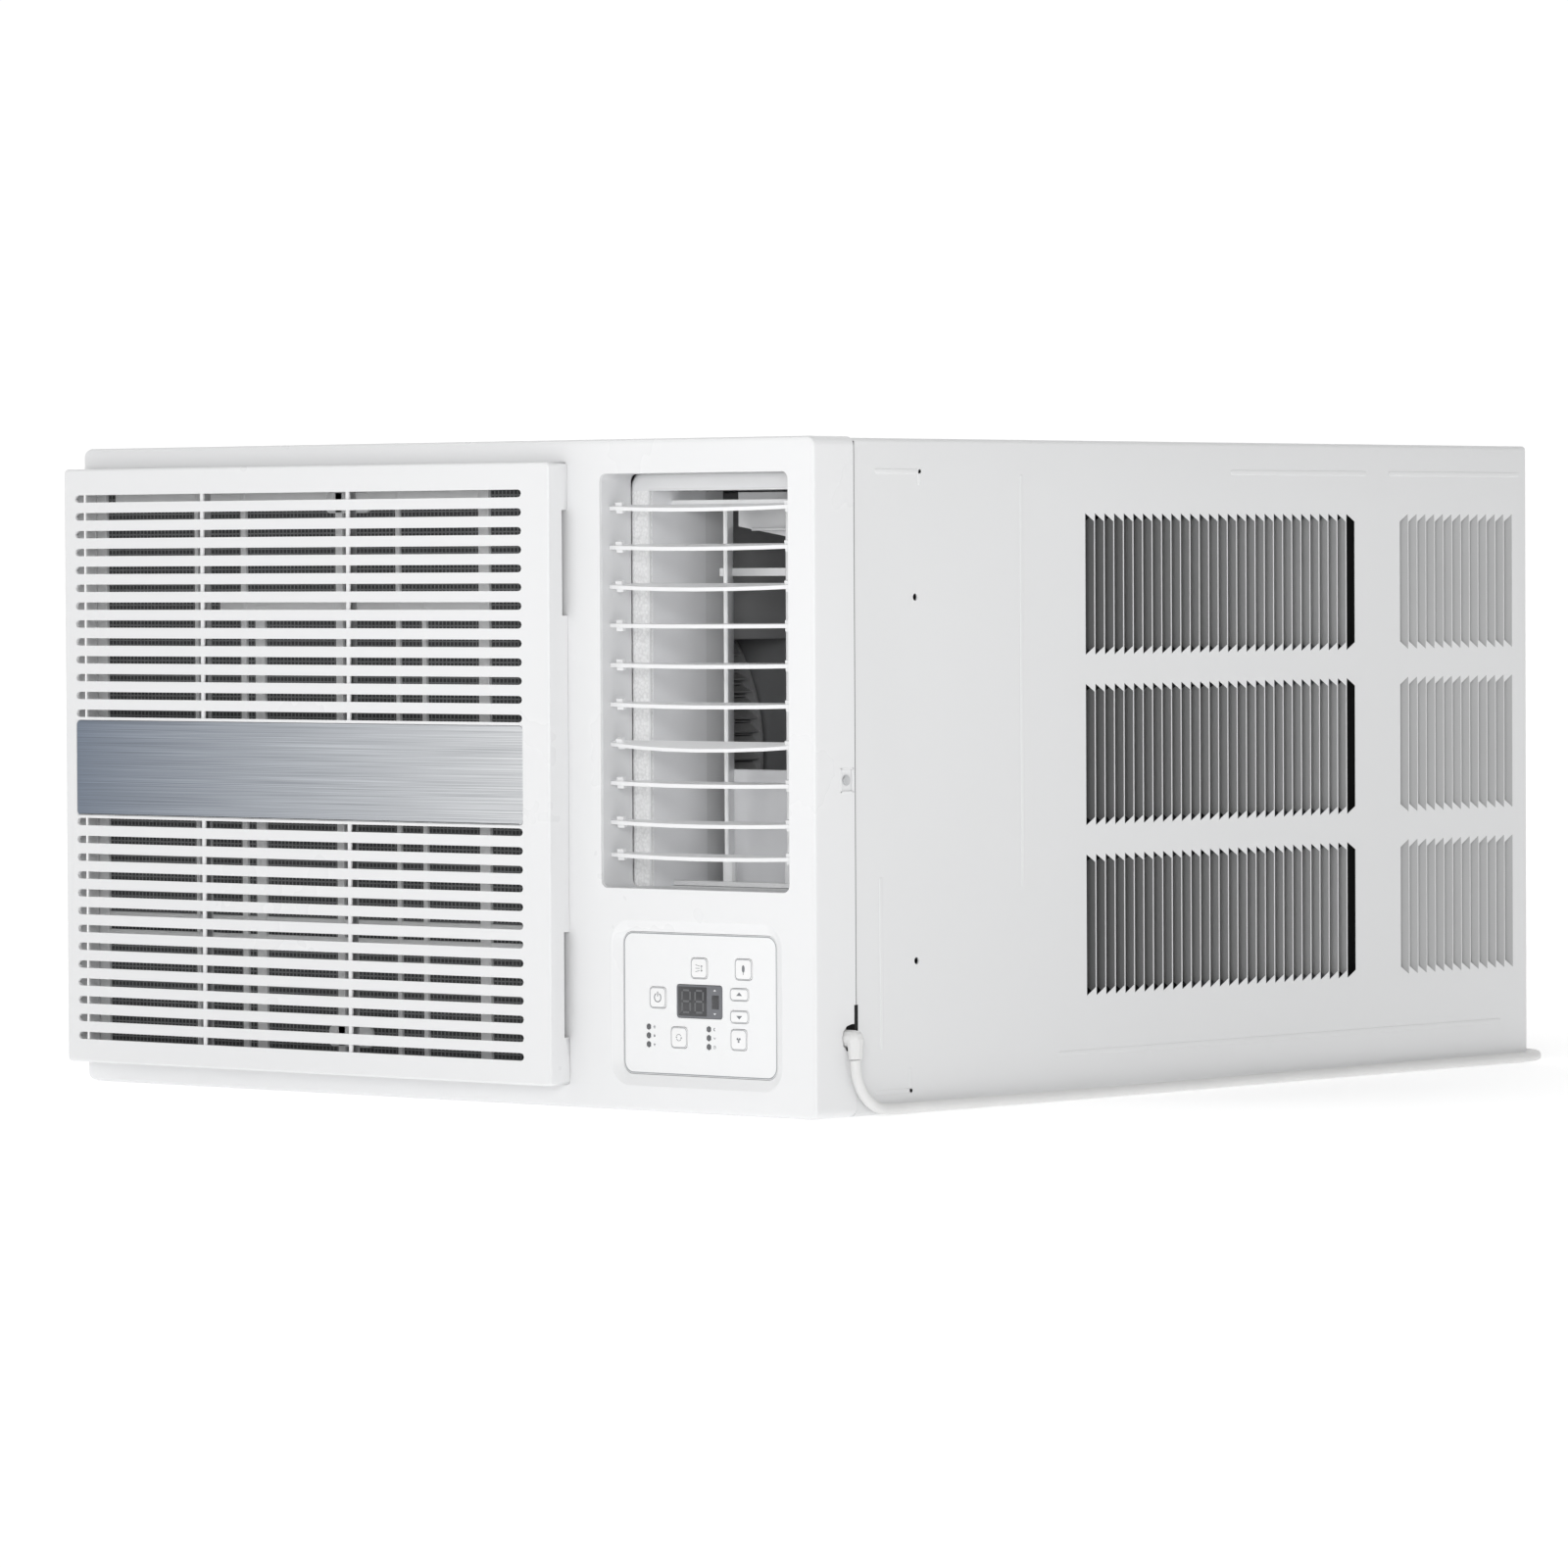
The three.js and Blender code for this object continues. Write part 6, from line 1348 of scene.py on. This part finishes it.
# Holes and pressed lines on both sides, as (Y, Z) places in millimetres.
SLEEVE_HOLES = [(-269.9, 328.1), (-270.0, 96.5)]
SLEEVE_LINES = [
    ((-163.5, 142), (-163.5, 405)), ((-304.5, 43), (-304.5, 149)), ((-307.5, 408), (-265.5, 408)),
    ((-309.5, 14), (-276.5, 14)), ((-126.5, 30), (354.5, 30)), ((56.5, 409), (202.5, 409)),
    ((230.5, 409), (377.5, 409)), ((-265.5, 401), (-265.5, 408)), ((-276.5, 14), (-276.5, 27)),
]


def tapered_plate(length, width, slant, thickness):
    """A plate in the YZ plane from its hinge at Y 0 to its shorter free edge."""
    plate = box((0, 0, -length / 2), (thickness, width, length / 2))
    for vertex in plate.verts:
        if vertex.co.y > width / 2:
            vertex.co.z -= math.copysign(slant, vertex.co.z)
    return plate


class AC_OT_sleeve(bpy.types.Operator):
    """Makes the painted sleeve with its pressed vents, lines, holes and rear flange"""

    bl_idname = "air_conditioner.sleeve"
    bl_label = "Sleeve"

    def execute(self, context):
        sizes = sizes_of(context)
        lower, upper = low("cabinet"), high("cabinet")
        shell = rounded_box(lower, upper, Y, 3 * MM, 6)
        hollow = rounded_box(
            (lower.x + SHEET, lower.y - 5 * MM, lower.z + SHEET), (upper.x - SHEET, upper.y - SHEET, upper.z - SHEET),
            Y, 1.8 * MM, 6,
        )
        shell = cut(cut(shell, hollow), self.thinned(lower, upper))
        openings = bmesh.new()
        absorb(openings, rounded_box(
            (lower.x + REAR_FLANGE, upper.y - 3 * MM, lower.z + REAR_FLANGE),
            (upper.x - REAR_FLANGE, upper.y + 3 * MM, upper.z - REAR_FLANGE), Y, 6 * MM, 6,
        ))
        wide_fins, narrow_fins = bmesh.new(), bmesh.new()
        slot_width = VENT_PITCH - sizes.vent_strip
        for side in (-1, 1):
            wall = upper.x if side > 0 else lower.x
            for z in VENT_ROWS:
                for (start, count), hinge, fins in ((WIDE_VENT, 1, wide_fins), (NARROW_VENT, -1, narrow_fins)):
                    turn = sizes.wide_fin_turn if hinge > 0 else sizes.narrow_fin_turn
                    for number in range(count):
                        edge = start + number * VENT_PITCH + (0 if hinge > 0 else slot_width)
                        self.slot(openings, wall, edge, z, hinge, slot_width, sizes.vent_slant)
                        self.fin(fins, wall, side, edge, z, hinge, slot_width, sizes.vent_slant, turn)
            for y, z in SLEEVE_HOLES:
                absorb(openings, rod(
                    (wall - SKIN_DEPTH, y * MM, z * MM), (wall + SKIN_DEPTH, y * MM, z * MM), HOLE_RADIUS, 24,
                ))
        shell = cut(shell, openings)
        piece("sleeve_shell", shell, "painted_sheet", ["cabinet"])
        piece("wide_vent_fins", wide_fins, "vent_fin_painted_shade")
        # Black plates of painted shadow behind the last wide slot of every row.
        self.shadow_plates(lower, upper)
        piece("narrow_vent_fins", narrow_fins, "narrow_fin_painted_shade")
        self.lines(lower, upper, sizes.emboss)
        return made(self)

    def shadow_plates(self, lower, upper):
        """A black plate inside the last wide slot of every row: painted shadow that keeps the slot dark."""
        mesh = bmesh.new()
        start, count = WIDE_VENT
        y = start + count * VENT_PITCH
        for left, right in (
            (upper.x - SHADOW_PLATE_FAR, upper.x - SHADOW_PLATE_NEAR), (lower.x + SHADOW_PLATE_NEAR, lower.x + SHADOW_PLATE_FAR),
        ):
            for z in VENT_ROWS:
                absorb(mesh, box((left, y - 8 * MM, z - 3 * MM), (right, y + 12 * MM, z + VENT_HEIGHT + 3 * MM)))
        piece("vent_shadow_plates", mesh, "gap_shadow")

    def thinned(self, lower, upper):
        """What leaves only a thin skin outside the vents, so that their fins start right behind it."""
        blocks = bmesh.new()
        margin = 2 * MM
        for left, right in (
            (upper.x - SKIN_DEPTH, upper.x - VENT_SKIN), (lower.x + VENT_SKIN, lower.x + SKIN_DEPTH),
        ):
            for z in VENT_ROWS:
                for start, count in (WIDE_VENT, NARROW_VENT):
                    absorb(blocks, box(
                        (left, start - margin, z - margin),
                        (right, start + count * VENT_PITCH + margin, z + VENT_HEIGHT + margin),
                    ))
        return blocks

    def slot(self, openings, wall, edge, z, hinge, width, slant):
        """What opens one vent slot; a hinge of -1 is at the slot's rear edge."""
        plate = tapered_plate(VENT_HEIGHT, width, slant, 2 * SKIN_DEPTH)
        place = Matrix.Translation((wall - hinge * SKIN_DEPTH, edge, z + VENT_HEIGHT / 2))
        absorb(openings, plate, place @ Matrix.Rotation(math.pi if hinge < 0 else 0.0, 4, "Z"))

    def fin(self, fins, wall, side, edge, z, hinge, width, slant, turn):
        """A pressed fin that swings in from its hinged edge."""
        plate = tapered_plate(VENT_HEIGHT - 0.6 * MM, width - 0.2 * MM, slant, FIN_THICKNESS)
        bmesh.ops.translate(plate, vec=(-FIN_THICKNESS / 2, -0.3 * MM, 0), verts=plate.verts)
        angle = turn * side * hinge
        if hinge < 0:
            bmesh.ops.rotate(plate, verts=plate.verts, cent=(0, 0, 0), matrix=Matrix.Rotation(math.pi, 3, "Z"))
        place = Matrix.Translation((wall - side * (VENT_SKIN + 0.35 * MM), edge, z + VENT_HEIGHT / 2))
        absorb(fins, plate, place @ Matrix.Rotation(angle, 4, "Z"))

    def lines(self, lower, upper, height):
        """Shallow pressed lines that stiffen both sides."""
        mesh = bmesh.new()
        reach = Vector((height, LINE_HALF_WIDTH, LINE_HALF_WIDTH))
        for wall in (lower.x, upper.x):
            for (y0, z0), (y1, z1) in SLEEVE_LINES:
                start, stop = Vector((wall, y0 * MM, z0 * MM)), Vector((wall, y1 * MM, z1 * MM))
                absorb(mesh, rounded_box(start - reach, stop + reach, X, 1.55 * MM, 6, 0.9 * height, 3))
        piece("sleeve_lines", mesh, "painted_sheet")


# ---- Chassis ----

END_PLATE = 2 * MM
TUBE_ROWS = 16
TUBE_RADIUS = 4 * MM
WHEEL_BLADES = 88
WHEEL_BLADE_DEPTH = 15 * MM
WHEEL_HUB_RADIUS, WHEEL_HUB_LENGTH = 18 * MM, 24 * MM
WHEEL_RING = 2.4 * MM
PIPE_FINISHES = {"suction_pipe": "rubber", "discharge_pipe": "black_paint", "liquid_line": "copper_tube"}


def finned_coil(name, node, pitch):
    """Fins between two end plates, with rows of tubes through them."""
    lower, upper = low(node), high(node)
    inset, half = 1 * MM, 0.1 * MM
    fins = bmesh.new()
    count = int((upper.x - lower.x - 2 * END_PLATE) / pitch)
    for number in range(1, count):
        x = lower.x + END_PLATE + number * pitch
        absorb(fins, box((x - half, lower.y + inset, lower.z + inset), (x + half, upper.y - inset, upper.z - inset)))
    for x in (lower.x, upper.x - END_PLATE):
        absorb(fins, rounded_box(
            (x, lower.y, lower.z), (x + END_PLATE, upper.y, upper.z), X, 2 * MM, 4, 0.3 * MM,
        ))
    piece(name + "_fins", fins, "fin_aluminium", [node])
    tubes = bmesh.new()
    for row in range(TUBE_ROWS):
        z = lower.z + (row + 0.5) * (upper.z - lower.z) / TUBE_ROWS
        for share in (0.3, 0.7):
            y = lower.y + share * (upper.y - lower.y)
            absorb(tubes, rod((lower.x + 0.5 * MM, y, z), (upper.x - 0.5 * MM, y, z), TUBE_RADIUS, 10))
    piece(name + "_tubes", tubes, "copper_tube")


class AC_OT_chassis(bpy.types.Operator):
    """Makes the pan, coils, blower, fan, compressor, pipes and the rest behind the front"""

    bl_idname = "air_conditioner.chassis"
    bl_label = "Chassis"

    plain = (
        ("base_pan", "drip_pan", "zinc_sheet", "galvanised", 0.4),
        ("control_board", "circuit_board", "board_green", "circuit_board", 0.2),
        ("control_box", "wiring_box", "zinc_sheet", "galvanised", 0.3),
        ("run_capacitor", "capacitor", "bright_steel", "steel", 1.2),
        ("blower_scroll", "scroll_case", "grey_plastic", "grey_plastic", 0.8),
        ("fan_motor", "motor_body", "zinc_sheet", "galvanised", 1.5),
        ("motor_stand", "motor_bracket", "zinc_sheet", "galvanised", 0.6),
        ("bulkhead", "divider", "zinc_sheet", "galvanised", 0.3),
        ("fan_shroud", "fan_ring", "zinc_sheet", "galvanised", 0.4),
        ("compressor", "compressor_shell", "black_paint", "black_paint", 1.2),
        ("accumulator", "accumulator_shell", "black_paint", "black_paint", 1.0),
    )

    def execute(self, context):
        for node, name, finish, slot, width in self.plain:
            softened(node, name, finish, width * MM, 3)
        for number in (1, 2, 3):
            softened(f"compressor_foot_{number}", f"rubber_foot_{number}", "rubber", 1 * MM, 3)
        for node in PIPE_FINISHES:
            softened(node, node + "_run", PIPE_FINISHES[node], 0.3 * MM)
        pitch = sizes_of(context).fin_pitch
        finned_coil("condenser", "condenser_coil", pitch)
        finned_coil("evaporator", "evaporator_coil", pitch)
        self.blower()
        softened("condenser_fan", "fan_blades", "black_plastic", 0.8 * MM, body="rotor")
        softened("fan_shaft", "shaft", "bright_steel", 0.6 * MM, body="rotor")
        return made(self)

    def blower(self):
        """A squirrel-cage wheel: curved blades between a ring and a back plate."""
        lower, upper = low("blower_wheel"), high("blower_wheel")
        centre = middle("blower_wheel")
        bore = high("fan_shaft").z - middle("fan_shaft").z + 0.3 * MM
        radius = (upper.x - lower.x) / 2
        inner, depth = radius - WHEEL_RING, WHEEL_BLADE_DEPTH
        front, rear = lower.y, upper.y
        hub = (centre.x, 0, centre.z)
        wheel = lathe([
            (bore, rear), (radius, rear), (radius, rear - 2 * MM), (WHEEL_HUB_RADIUS, rear - 3 * MM),
            (WHEEL_HUB_RADIUS, rear - WHEEL_HUB_LENGTH), (bore, rear - WHEEL_HUB_LENGTH),
        ], hub, Y, 72)
        ring = [(inner, front), (radius, front), (radius, front + 4 * MM), (inner, front + 4 * MM)]
        absorb(wheel, lathe(ring, hub, Y, 72))
        for number in range(WHEEL_BLADES):
            angle = FULL_TURN * number / WHEEL_BLADES
            for share, lean in ((0.26, 0.75), (0.74, 0.2)):
                blade = box((-0.3 * depth, front + 1 * MM, -0.5 * MM), (0.3 * depth, rear - 1 * MM, 0.5 * MM))
                turned = Matrix.Translation(hub) @ Matrix.Rotation(angle + 0.05 * share, 4, "Y")
                out = Matrix.Translation((radius - share * depth - 1 * MM, 0, 0)) @ Matrix.Rotation(lean, 4, "Y")
                absorb(wheel, blade, turned @ out)
        piece("blower_cage", wheel, "blower_plastic", ["blower_wheel"], "rotor")


# ---- Add-on ----


class AC_PT_panel(bpy.types.Panel):
    """Lists the sizes and the steps"""

    bl_idname = "AC_PT_panel"
    bl_label = "Window Air Conditioner"
    bl_space_type = "VIEW_3D"
    bl_region_type = "UI"
    bl_category = "Air Conditioner"

    def draw(self, context):
        sizes = sizes_of(context)
        for key in AirConditionerSizes.__annotations__:
            self.layout.prop(sizes, key)
        for step in STEPS:
            self.layout.operator(step.bl_idname)


STEPS = (
    AC_OT_stage, AC_OT_cord, AC_OT_bezel, AC_OT_grille, AC_OT_filter, AC_OT_louvers, AC_OT_duct, AC_OT_controls,
    AC_OT_sleeve, AC_OT_chassis,
)
CLASSES = (AirConditionerSizes, *STEPS, AC_PT_panel)


def register():
    for cls in CLASSES:
        bpy.utils.register_class(cls)
    bpy.types.Scene.air_conditioner = bpy.props.PointerProperty(type=AirConditionerSizes)


def unregister():
    del bpy.types.Scene.air_conditioner
    for cls in reversed(CLASSES):
        bpy.utils.unregister_class(cls)


def main():
    register()
    make_finishes(bpy.context.scene.air_conditioner)
    for step in STEPS:
        group, name = step.bl_idname.split(".")
        getattr(getattr(bpy.ops, group), name)()


if __name__ == "__main__":
    main()
